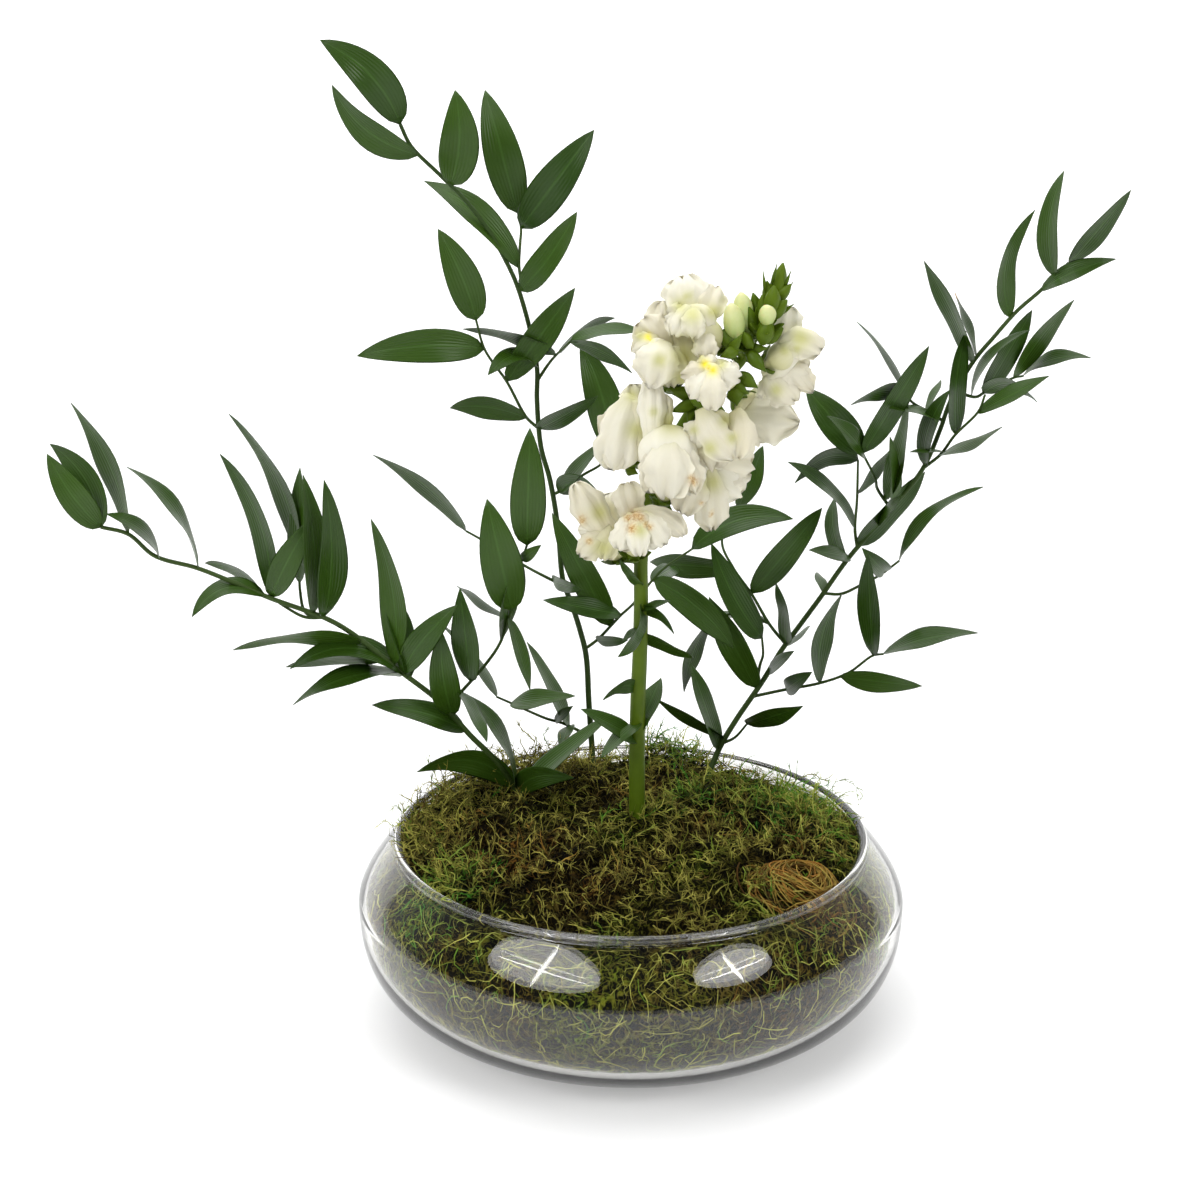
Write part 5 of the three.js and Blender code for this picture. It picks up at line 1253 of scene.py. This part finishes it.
def side_fronds(count, rng):
    """Fronds that lie against the inside of the glass, and a painted shade on each point, darker the
    further in from the glass it lies. They wander over the unrolled wall, whose line is followed by its
    running length, at a small distance in from it."""
    wall = bowl_line(WALL + GAP, BOTTOM_THICKNESS + GAP)[:-FRONDS_BELOW_LIP]
    run = np.concatenate([[0], np.cumsum(np.hypot(*np.diff(wall, axis=0).T))])
    place = run[-1] * rng.uniform(0, 1, (count, 1)) ** 0.8
    angle = rng.uniform(0, 2 * math.pi, (count, 1))
    heading = rng.uniform(0, 2 * math.pi, (count, 1)) + wandering(count, GLASS_CURL, rng)
    step = rng.uniform(*GLASS_FROND_LENGTHS, (count, 1)) / FROND_ROWS
    place = np.clip(place + np.cumsum(np.sin(heading), axis=1) * step, 0, run[-1])
    radius = np.interp(place, run, wall[:, 0])
    angle = angle + np.cumsum(np.cos(heading), axis=1) * step / radius
    depth = rng.uniform(0.1, 1.9, (count, 1))
    inward = np.maximum(depth + 0.6 * np.sin(heading), 0.1)
    height = np.interp(place, run, wall[:, 1]) + 0.6 * inward * (1 - place / run[-1])
    radius = radius - inward
    lines = np.stack([radius * np.cos(angle), radius * np.sin(angle), height], axis=-1)
    return lines, 0.8 * np.clip(inward / 1.9, 0, 1) ** 1.5


def sprigs(lines, each, rng):
    """Short side sprigs of fronds: each springs from a point of its frond and leans away from it.
    The first two values say which frond and which of its points."""
    owner = np.repeat(np.arange(len(lines)), each)
    at = rng.integers(1, lines.shape[1] - 1, len(owner))
    start = lines[owner, at]
    ahead = unit(lines[owner, at + 1] - lines[owner, at - 1])
    way = unit(ahead + 0.8 * unit(rng.normal(0, 1, (len(owner), 3))))
    size = rng.uniform(*SPRIG_LENGTHS, (len(owner), 1))
    return owner, at, np.stack([start, start + way * size], axis=1)


def moss_piece(name, groups, each, material, size=FROND_WIDTH, glint=1.0, hold=inside_bowl):
    """A piece of loose moss from groups of fronds and their shades, with side sprigs on each frond. The
    size is the fronds' width, and the glint says how strong the painted highlight is on the lightest of
    them."""
    rng = np.random.default_rng(SEED + len(name))
    parts = []
    for (lines, painted_shade), tone in groups:
        count = len(lines)
        shade = np.clip(tone + rng.normal(0, 0.13, count), 0, 1)
        # Some fronds, picked at random, are painted lighter as highlights
        light = glint * rng.uniform(0, 1, count) ** 1.9
        width = size * rng.uniform(0.6, 1.4, count)
        parts.append((frond_skins(lines, width, shade, light, painted_shade), 0))
        if not each:
            continue
        owner, at, twigs = sprigs(lines, each, rng)
        width = size * rng.uniform(0.5, 1.0, len(owner))
        # Sprigs carry a painted highlight much like their fronds, a little stronger on the whole
        light = np.clip(light[owner] + rng.uniform(-0.2, 0.4, len(owner)), 0, 1)
        parts.append((frond_skins(hold(twigs), width, shade[owner], light, painted_shade[owner, at][:, None]), 0))
    return make_piece(name, parts, [material], "moss")


# Patches of the moss that stand out: where they show, how far they reach, how high they fluff up,
# how many fronds they have, their shade, and how steeply the fronds rise
PATCHES = (
    dict(at=(674, 745), reach=22, lift=15, count=430, tone=0.94, rise=(-0.2, 1.2)),
    dict(at=(800, 805), reach=38, lift=8, count=560, tone=0.89, rise=(-0.3, 1.0)),
    dict(at=(482, 778), reach=26, lift=18, count=600, tone=0.5, rise=(-0.3, 0.9)),
    dict(at=(436, 806), reach=20, lift=14, count=420, tone=0.5, rise=(-0.3, 0.9)),
    dict(at=(555, 766), reach=28, lift=11, count=420, tone=0.44, rise=(-0.2, 0.9)),
    dict(at=(424, 830), reach=24, lift=9, count=260, tone=0.52, rise=(-0.2, 0.9)),
    dict(at=(456, 870), reach=18, lift=6, count=240, tone=0.9, rise=(-0.2, 0.8)),
    dict(at=(693, 800), reach=10, lift=4, count=80, tone=0.98, rise=(-0.2, 0.8)),
    dict(at=(520, 860), reach=26, lift=3, count=260, tone=0.18, rise=(-0.2, 0.8)),
)

# The brown part of the moss, how much deeper it counts for the painted shade and how much darker its tone
# is, a green part against the glass and how much greener it is, and the nest of coir with its height
BROWN_MOSS = dict(at=(530, 852), reach=32, depth_shade=2.6, darker=0.32)
GREEN_BY_GLASS = dict(at=(425, 915), reach=34, tone=0.5)
COIR = dict(at=(802, 873), reach=20, lift=12, rows=12)

# Single strands over the rim: their places in the picture and the depth that they show at
STRANDS = (
    dict(path=[(404, 822), (395, 826), (387, 822), (376, 826)], depth=-6),
    dict(path=[(410, 806), (402, 812), (396, 806), (391, 808)], depth=10),
    dict(path=[(834, 796), (832, 787), (838, 781), (846, 780), (856, 786), (862, 797), (856, 808)],
         depth=30),
    dict(path=[(828, 806), (838, 798), (850, 792), (858, 796)], depth=20),
    dict(path=[(800, 778), (812, 774), (822, 780), (832, 776)], depth=40),
    dict(path=[(535, 742), (527, 734), (520, 727), (516, 720)], depth=70),
    dict(path=[(548, 746), (544, 735), (549, 727)], depth=70),
    dict(path=[(436, 774), (428, 764), (430, 755)], depth=50),
)
STRAND_ROWS = 14


def moss_pieces(material, by_glass):
    """All the loose moss: the top, the patches that stand out, and what shows through the glass, which
    takes a copy of the moss material painted lighter in place of the light that comes through the glass.
    """
    rng = np.random.default_rng(SEED + 5)
    for name in ("moss_top_left", "moss_top_right"):
        x, y = spread_places(TOP_FRONDS, rng)
        x = np.abs(x) if name.endswith("right") else -np.abs(x)
        fronds = top_fronds(x, y, np.zeros(len(x)), TOP_FROND_LENGTHS, (-0.3, 1.0), rng)
        moss_piece(name, [(fronds, moss_tone(x, y))], 5, material)
    heaps = [(patch_fronds(patch, rng), patch["tone"]) for patch in PATCHES]
    moss_piece("moss_patches", heaps, 4, material)
    moss_piece("moss_coir", [(coir_threads(rng), 0.0)], 0, material, COIR_WIDTH, 0.6)
    moss_piece("moss_strands", [(strands(rng), 0.8)], 16, material, hold=np.copy)
    for name in ("moss_in_glass", "moss_against_glass"):
        fronds = side_fronds(GLASS_FRONDS, rng)
        first = fronds[0][:, 0]
        tone = np.minimum(0.06 + moss_tone(first[:, 0] * 0.8 + 30, first[:, 2] * 1.7), 0.7)
        away = np.linalg.norm(shown(first) - GREEN_BY_GLASS["at"], axis=1)
        tone = tone + GREEN_BY_GLASS["tone"] * bell(away, GREEN_BY_GLASS["reach"])
        moss_piece(name, [(fronds, tone)], 1, by_glass, size=GLASS_FROND_WIDTH)


def feed(tree, socket, value):
    """Gives an input its value: a link from another node's output, a colour of three, or a number."""
    if isinstance(value, bpy.types.NodeSocket):
        tree.links.new(value, socket)
    elif socket.type == "RGBA":
        socket.default_value = (*value, 1)
    else:
        socket.default_value = value


def set_inputs(tree, node, **values):
    """Gives the named inputs of a node their values."""
    for name, value in values.items():
        feed(tree, node.inputs[name.replace("_", " ")], value)


def add_node(tree, kind, *inputs, **values):
    """A node whose first inputs come in order. A named value goes to the input of that name, or else to
    the property."""
    node = tree.nodes.new(kind)
    for name, value in values.items():
        if name.replace("_", " ") in node.inputs:
            set_inputs(tree, node, **{name: value})
        else:
            setattr(node, name, value)
    for socket, value in zip(node.inputs, inputs):
        feed(tree, socket, value)
    return node


def math_node(tree, operation, *inputs, **values):
    """The result of a sum on numbers and on the outputs of other nodes."""
    return add_node(tree, "ShaderNodeMath", *inputs, operation=operation, **values).outputs[0]


def scaled(tree, value, share):
    """A value times a share."""
    return math_node(tree, "MULTIPLY", value, share)


def mapped(tree, value, before, after, **values):
    """A value moved from one range into another, which it doesn't leave."""
    ends = dict(From_Min=before[0], From_Max=before[1], To_Min=after[0], To_Max=after[1])
    return add_node(tree, "ShaderNodeMapRange", value, **ends, **values).outputs["Result"]


def blend(tree, base, colour, share):
    """A colour mixed over another by a share that changes over the surface."""
    node = add_node(tree, "ShaderNodeMix", share, data_type="RGBA")
    feed(tree, node.inputs[6], base)
    feed(tree, node.inputs[7], colour)
    return node.outputs[2]


def object_place(tree):
    """The object's own coordinates."""
    return add_node(tree, "ShaderNodeTexCoord").outputs["Object"]


def object_noise(tree, **values):
    """Soft noise on the object's own coordinates."""
    return add_node(tree, "ShaderNodeTexNoise", object_place(tree), **values).outputs["Fac"]


def bump(tree, height, strength, distance):
    """The normal that a height gives, with the distance in metres for a height of one."""
    node = add_node(tree, "ShaderNodeBump", Height=height, Strength=strength, Distance=distance)
    return node.outputs["Normal"]


def group_on(tree, group, **values):
    """The outputs of a group that stands in a material with its own values."""
    return add_node(tree, "ShaderNodeGroup", node_tree=group, **values).outputs


def new_group(name, inputs, outputs):
    """An empty shader group, what comes into it and what goes out, each by its label and its kind."""
    group = bpy.data.node_groups.new(name, "ShaderNodeTree")
    for way, sockets in (("INPUT", inputs), ("OUTPUT", outputs)):
        for label, kind in sockets.items():
            group.interface.new_socket(name=label, in_out=way, socket_type=f"NodeSocket{kind}")
    return group, group.nodes.new("NodeGroupInput").outputs, group.nodes.new("NodeGroupOutput").inputs


def mottle_group():
    """Colour that wanders between a dark and a light one: soft noise on the object's coordinates plus
    the shade of the piece, as a share of the way from one to the other."""
    group, given, result = new_group(
        "mottled_colour",
        {"Dark": "Color", "Light": "Color", "Scale": "Float", "Noise Share": "Float", "Shade": "Float"},
        {"Color": "Color", "Share": "Float"},
    )
    noise = object_noise(group, Scale=given["Scale"], Detail=4.0, Roughness=0.6)
    from_noise = math_node(group, "MULTIPLY", noise, given["Noise Share"])
    rest = math_node(group, "SUBTRACT", 1.0, given["Noise Share"])
    from_shade = math_node(group, "MULTIPLY", rest, given["Shade"])
    share = math_node(group, "ADD", from_noise, from_shade, use_clamp=True)
    feed(group, result["Color"], blend(group, given["Dark"], given["Light"], share))
    feed(group, result["Share"], share)
    return group


def vein_group():
    """Fine parallel veins: a sine of the place across times the number of lines, with a clear midrib
    where the place across is near nothing, and a little noise along the way."""
    group, given, result = new_group(
        "fine_veins",
        {"Lines": "Float", "Wander": "Float", "Midrib": "Float"},
        {"Height": "Float", "Rib": "Float"},
    )
    place = add_node(group, "ShaderNodeUVMap", uv_map="along_across").outputs["UV"]
    across = add_node(group, "ShaderNodeSeparateXYZ", place).outputs["Y"]
    noise = object_noise(group, Scale=60.0, Detail=2.0)
    stray = math_node(group, "MULTIPLY_ADD", noise, given["Wander"], 0.5)
    wave = math_node(group, "SINE", math_node(group, "MULTIPLY_ADD", across, given["Lines"], stray))
    off = math_node(group, "ABSOLUTE", across)
    near = mapped(group, off, (0.0, 0.12), (1.0, 0.0), interpolation_type="SMOOTHSTEP")
    rib = math_node(group, "MULTIPLY", near, given["Midrib"])
    feed(group, result["Height"], math_node(group, "MULTIPLY_ADD", wave, 0.5, rib))
    feed(group, result["Rib"], rib)
    return group


def thread_group():
    """Curled threads: lines wind where a soft noise is near its middle value, narrow and bright there
    and dark between. Two such sets of different size lie over each other."""
    group, given, result = new_group("curled_threads", {"Scale": "Float"}, {"Threads": "Float"})
    sets = []
    for finer in (1.0, 1.7):
        scale = scaled(group, given["Scale"], finer)
        noise = object_noise(group, Scale=scale, Detail=1.5, Distortion=0.8)
        off = math_node(group, "ABSOLUTE", math_node(group, "SUBTRACT", noise, 0.5))
        near = mapped(group, off, (0.0, 0.055), (1.0 / finer, 0.0), interpolation_type="SMOOTHSTEP")
        sets.append(near)
    feed(group, result["Threads"], math_node(group, "MAXIMUM", *sets))
    return group


# Moss colours by shade: the shade that each stands at, then its colour
MOSS_SHADES = (
    (0.0, 0.34, 0.16, 0.03),
    (0.2, 0.075, 0.04, 0.008),
    (0.45, 0.088, 0.07, 0.012),
    (0.65, 0.115, 0.13, 0.012),
    (0.82, 0.11, 0.24, 0.018),
    (1.0, 0.04, 0.24, 0.02),
)
# A pale colour painted over some fronds as a highlight, and the near black of the painted shade deep in the
# moss
MOSS_PAINTED_HIGHLIGHT = (0.60, 0.56, 0.12)
MOSS_PAINTED_SHADE = (0.003, 0.0025, 0.001)


def moss_group():
    """The moss colour for a shade: from brown through olive to bright green, moved along by a little noise,
    all times the gain, which paints light or shade into it."""
    group, given, result = new_group("moss_colour", {"Shade": "Float", "Gain": "Float"}, {"Color": "Color"})
    noise = object_noise(group, Scale=160.0, Detail=3.0)
    around = math_node(group, "SUBTRACT", given["Shade"], 0.2)
    ramp = add_node(group, "ShaderNodeValToRGB", math_node(group, "MULTIPLY_ADD", noise, 0.4, around))
    stops = ramp.color_ramp.elements
    stops.remove(stops[1])
    for number, (position, *colour) in enumerate(MOSS_SHADES):
        stop = stops.new(position) if number else stops[0]
        stop.position = position
        stop.color = (*colour, 1)
    bright = add_node(
        group, "ShaderNodeVectorMath", ramp.outputs["Color"], operation="SCALE", Scale=given["Gain"]
    )
    feed(group, result["Color"], bright.outputs["Vector"])
    return group


MOTTLE = mottle_group()
VEINS = vein_group()
THREADS = thread_group()
MOSS = moss_group()


def new_material(name, **values):
    """A material, its tree, and its Principled shader whose inputs hold the given values."""
    material = bpy.data.materials.new(name)
    material.use_nodes = True
    tree = material.node_tree
    shader = tree.nodes["Principled BSDF"]
    set_inputs(tree, shader, **values)
    return material, tree, shader


def look_of(tree):
    """The kept values of a piece: its shade and its three marks."""
    kept = add_node(tree, "ShaderNodeAttribute", attribute_name="look")
    parts = add_node(tree, "ShaderNodeSeparateColor", kept.outputs["Color"])
    return (*parts.outputs[:3], kept.outputs["Alpha"])


def mottle(tree, dark, light, scale, noise_share, shade=0.0):
    """The mottled colour in a material with its own values, and the share that it follows."""
    node = group_on(
        tree, MOTTLE, Dark=dark, Light=light, Scale=scale, Noise_Share=noise_share, Shade=shade
    )
    return node["Color"], node["Share"]


def ruscus_leaf_finish():
    """Leathery dark green, paler and duller below, with fine veins and a soft sheen."""
    material, tree, shader = new_material("ruscus_leaf_green", Specular_IOR_Level=0.3)
    shade, under, tip, _ = look_of(tree)
    green, share = mottle(tree, (0.015, 0.044, 0.003), (0.042, 0.096, 0.006), 45, 0.5, shade)
    veins = group_on(tree, VEINS, Lines=34, Wander=1.5, Midrib=0.45)
    colour = blend(tree, green, (0.06, 0.14, 0.02), veins["Rib"])
    colour = blend(tree, colour, (0.07, 0.11, 0.05), scaled(tree, under, 0.6))
    colour = blend(tree, colour, (0.42, 0.22, 0.03), tip)
    rough = mapped(tree, share, (0, 1), (0.28, 0.42))
    normal = bump(tree, veins["Height"], 0.6, 0.00014)
    set_inputs(tree, shader, Base_Color=colour, Roughness=rough, Normal=normal)
    return material


def stem_finish(name, dark, light, rough):
    """Green bark with lengthwise streaks and a fine grain."""
    material, tree, shader = new_material(name, Specular_IOR_Level=0.18)
    green, share = mottle(tree, dark, light, 90, 0.6, look_of(tree)[0])
    streaks = add_node(tree, "ShaderNodeMapping", object_place(tree), Scale=(1, 1, 0.12))
    grain = add_node(tree, "ShaderNodeTexNoise", streaks.outputs[0], Scale=1400.0, Detail=3.0)
    normal = bump(tree, grain.outputs["Fac"], 0.3, 0.0003)
    rough = mapped(tree, share, (0, 1), rough)
    set_inputs(tree, shader, Base_Color=green, Roughness=rough, Normal=normal)
    return material


def petal_finish():
    """Creamy white, thin and a little translucent, pale olive in the throats, with yellow and brown
    marks where the piece keeps them, and fine veins."""
    material, tree, shader = new_material(
        "petal_white", Roughness=0.6, Subsurface_Weight=0.12, Subsurface_Scale=0.003,
        Subsurface_Radius=(1.0, 0.9, 0.6),
    )
    shade, throat, yellow, brown = look_of(tree)
    colour, _ = mottle(tree, (0.64, 0.58, 0.41), (0.88, 0.86, 0.73), 60, 0.5, shade)
    colour = blend(tree, colour, (0.50, 0.50, 0.12), scaled(tree, throat, 0.75))
    colour = blend(tree, colour, (0.88, 0.76, 0.01), yellow)
    colour = blend(tree, colour, (0.80, 0.55, 0.16), scaled(tree, brown, 0.6))
    patchy = mapped(tree, object_noise(tree, Scale=900.0, Detail=3.0), (0.35, 0.65), (0, 1))
    stain = math_node(tree, "MULTIPLY", brown, patchy, use_clamp=True)
    colour = blend(tree, colour, (0.36, 0.14, 0.006), stain)
    veins = group_on(tree, VEINS, Lines=26, Wander=5)
    normal = bump(tree, veins["Height"], 0.25, 0.00015)
    set_inputs(tree, shader, Base_Color=colour, Normal=normal)
    return material


def bud_finish():
    """Pale yellow-green, greener at the foot."""
    material, tree, shader = new_material(
        "pale_bud", Roughness=0.5, Subsurface_Weight=0.2, Subsurface_Scale=0.004
    )
    shade, foot, _, _ = look_of(tree)
    pale, _ = mottle(tree, (0.56, 0.61, 0.18), (0.86, 0.87, 0.56), 120, 0.8, shade)
    colour = blend(tree, pale, (0.28, 0.42, 0.05), foot)
    normal = bump(tree, object_noise(tree, Scale=700.0), 0.2, 0.0002)
    set_inputs(tree, shader, Base_Color=colour, Normal=normal)
    return material


def moss_colour(tree, shade, painted_light_gain):
    """The moss colour in a material with its own gain, a painted light or shade."""
    return group_on(tree, MOSS, Shade=shade, Gain=painted_light_gain)["Color"]


def moss_finish(name, painted_light_gain):
    """Moss fronds: a painted highlight on some fronds, and a painted shade that turns them nearly black
    deep down. A gain over one paints the whole material lighter.
    """
    material, tree, shader = new_material(name, Specular_IOR_Level=0.1)
    shade, along, light, painted_shade = look_of(tree)
    pale = tuple(min(0.9, painted_light_gain * value) for value in MOSS_PAINTED_HIGHLIGHT)
    colour = blend(tree, moss_colour(tree, shade, painted_light_gain), pale, scaled(tree, light, 0.85))
    colour = blend(tree, colour, MOSS_PAINTED_SHADE, painted_shade)
    rough = mapped(tree, along, (0, 1), (0.8, 0.6))
    set_inputs(tree, shader, Base_Color=colour, Roughness=rough)
    return material


def moss_bed_finish():
    """The ground between the fronds: curled threads of moss over the moss colour painted nearly black as
    shade. The threads are painted lighter by the glass than on top, and a painted shade darkens the
    hollows."""
    material, tree, shader = new_material("moss_bed_dark", Roughness=0.95, Specular_IOR_Level=0.05)
    shade, painted_shade, by_wall, _ = look_of(tree)
    threads = group_on(tree, THREADS, Scale=190.0)["Threads"]
    # Copies of the moss colour: painted nearly black as shade between the threads, a little darker on top,
    # and lighter by the glass
    dark, on_top, by_glass = (moss_colour(tree, shade, painted_light_gain) for painted_light_gain in (0.03, 0.8, 1.8))
    colour = blend(tree, dark, blend(tree, on_top, by_glass, by_wall), threads)
    colour = blend(tree, colour, MOSS_PAINTED_SHADE, scaled(tree, painted_shade, 0.6))
    normal = bump(tree, threads, 0.9, 0.0012)
    set_inputs(tree, shader, Base_Color=colour, Normal=normal)
    return material


def foam_finish():
    """Floral foam: damp green with fine open cells."""
    material, tree, shader = new_material("floral_foam_green", Roughness=0.9)
    colour, _ = mottle(tree, (0.02, 0.07, 0.03), (0.04, 0.12, 0.05), 300, 1.0)
    cells = add_node(tree, "ShaderNodeTexVoronoi", object_place(tree), Scale=900.0)
    normal = bump(tree, cells.outputs["Distance"], 0.6, 0.0008)
    set_inputs(tree, shader, Base_Color=colour, Normal=normal)
    return material


def light_through(tree):
    """How solid the glass is: less so to the light that falls on it, so that its shadow is pale."""
    ray = add_node(tree, "ShaderNodeLightPath")
    return mapped(tree, ray.outputs["Is Shadow Ray"], (0, 1), (1.0, GLASS_SHADE))


def bowl_finish():
    """Clear glass with a faint warm grey tint and barely seen waves."""
    material, tree, shader = new_material(
        "clear_bowl_glass", Roughness=0.0, Transmission_Weight=1.0, IOR=1.46,
        Base_Color=(0.89, 0.885, 0.86),
    )
    normal = bump(tree, object_noise(tree, Scale=12.0, Detail=1.0), 0.06, 0.002)
    set_inputs(tree, shader, Alpha=light_through(tree), Normal=normal)
    return material


def rim_finish():
    """The glass of the lip, a little rougher than the rest."""
    material, tree, shader = new_material(
        "clear_rim_glass", Roughness=0.09, Transmission_Weight=0.95, IOR=1.5,
        Base_Color=(0.95, 0.95, 0.93),
    )
    set_inputs(tree, shader, Alpha=light_through(tree))
    return material


def floor_finish():
    """A plain pale floor with a faint glow of its own, so that shadows on it stay soft. The glow grows
    with the way from the middle, where less light falls."""
    material, tree, shader = new_material(
        "pale_floor", Roughness=0.7, Emission_Strength=1.0, Base_Color=(0.74, 0.74, 0.74)
    )
    far = add_node(tree, "ShaderNodeVectorMath", object_place(tree), operation="LENGTH")
    glow = mapped(tree, far.outputs["Value"], FLOOR_GLOW_REACH, (FLOOR_GLOW, FAR_FLOOR_GLOW))
    set_inputs(tree, shader, Emission_Color=glow)
    return material


def lay_floor():
    """A pale floor that curves up far behind: flat, then a quarter circle, then upright."""
    turn = np.linspace(0, math.pi / 2, 16)[1:]
    flat = np.linspace(FLOOR_FRONT, FLOOR_BACK, 8)
    depth = np.concatenate([flat, FLOOR_BACK + FLOOR_CURVE * np.sin(turn), [FLOOR_BACK + FLOOR_CURVE]])
    height = np.concatenate([0 * flat, FLOOR_CURVE * (1 - np.cos(turn)), [BACKDROP_HEIGHT]])
    across = np.tile([-FLOOR_HALF_WIDTH, FLOOR_HALF_WIDTH], len(depth))
    points = np.stack([across, np.repeat(depth, 2), np.repeat(height, 2)], axis=1)
    faces = 2 * np.arange(len(depth) - 1)[:, None] + np.array([0, 1, 3, 2])
    mesh = bpy.data.meshes.new("floor")
    mesh.from_pydata(points.tolist(), [], faces.tolist())
    mesh.polygons.foreach_set("use_smooth", np.ones(len(faces), bool))
    mesh.materials.append(floor_finish())
    floor = new_object("floor", mesh)


def soft_light(name, place, size, power, target=(0, 0, 0.2)):
    """An oval soft light at a place, in metres, that faces its target."""
    lamp = bpy.data.lights.new(name, "AREA")
    lamp.shape = "ELLIPSE"
    lamp.size, lamp.size_y = size
    lamp.energy = power
    place, target = np.array(place, float), np.array(target, float)
    back = unit(place - target)
    side = unit(np.cross((0, 0, 1), back))
    turn = np.eye(4)
    turn[:3] = np.stack([side, np.cross(back, side), back, place], axis=1)
    new_object(name, lamp).matrix_world = Matrix(turn.tolist())


def stand_camera():
    """The camera at the eye of the view, with the lens that gives the view's focus."""
    lens = bpy.data.cameras.new("view")
    lens.sensor_width = SENSOR_WIDTH
    lens.lens = SENSOR_WIDTH * VIEW_FOCUS / (2 * VIEW_CENTRE)
    camera = new_object("view", lens)
    camera.location = EYE * MM
    camera.rotation_euler = (math.pi / 2 - VIEW_PITCH, 0, 0)
    bpy.context.scene.camera = camera


def light_room():
    """A pale room that is brighter behind than in front, and its soft lights."""
    world = bpy.data.worlds.new("pale_room")
    bpy.context.scene.world = world
    world.use_nodes = True
    tree = world.node_tree
    way = add_node(tree, "ShaderNodeTexCoord").outputs["Generated"]
    behind = add_node(tree, "ShaderNodeSeparateXYZ", way).outputs["Y"]
    glow = mapped(tree, behind, (-0.1, 0.7), (ROOM_FRONT, ROOM_BACK))
    ray = add_node(tree, "ShaderNodeLightPath")
    seen_glow = scaled(tree, ray.outputs["Is Camera Ray"], ROOM_SEEN)
    strength = math_node(tree, "MAXIMUM", glow, seen_glow)
    set_inputs(tree, tree.nodes["Background"], Color=(1, 1, 1), Strength=strength)
    for name, light in LIGHTS.items():
        soft_light(name, **light)


bpy.context.scene.view_settings.view_transform = "Standard"
stand_camera()
light_room()
lay_floor()

LEAF_FINISH = ruscus_leaf_finish()
TWIG_FINISH = stem_finish("ruscus_twig_bark", (0.02, 0.045, 0.008), (0.06, 0.10, 0.022), (0.4, 0.6))
STEM_FINISH = stem_finish("snapdragon_green", (0.04, 0.08, 0.003), (0.13, 0.20, 0.008), (0.35, 0.5))
PETAL_FINISH = petal_finish()
BUD_FINISH = bud_finish()

bowl_piece(bowl_finish(), rim_finish())
bpy.data.objects["floral_foam"].data.materials[0] = foam_finish()
moss_bed_piece(moss_bed_finish())
# The moss by the glass is a copy painted lighter, in place of the light that comes through the glass
moss_pieces(moss_finish("moss_fronds", 1.0), moss_finish("moss_fronds_painted_lit", 1.6))
branch_piece("ruscus_left", LEFT, [LEAF_FINISH, TWIG_FINISH])
branch_piece("ruscus_upright", UPRIGHT, [LEAF_FINISH, TWIG_FINISH])
branch_piece("ruscus_right", RIGHT, [LEAF_FINISH, TWIG_FINISH])
snapdragon_piece([STEM_FINISH, LEAF_FINISH])
for bloom, bloom_row in BLOOMS.items():
    bloom_piece(bloom, bloom_row, [PETAL_FINISH])
for bud, bud_row in BUDS.items():
    bud_piece(bud, bud_row, [BUD_FINISH])
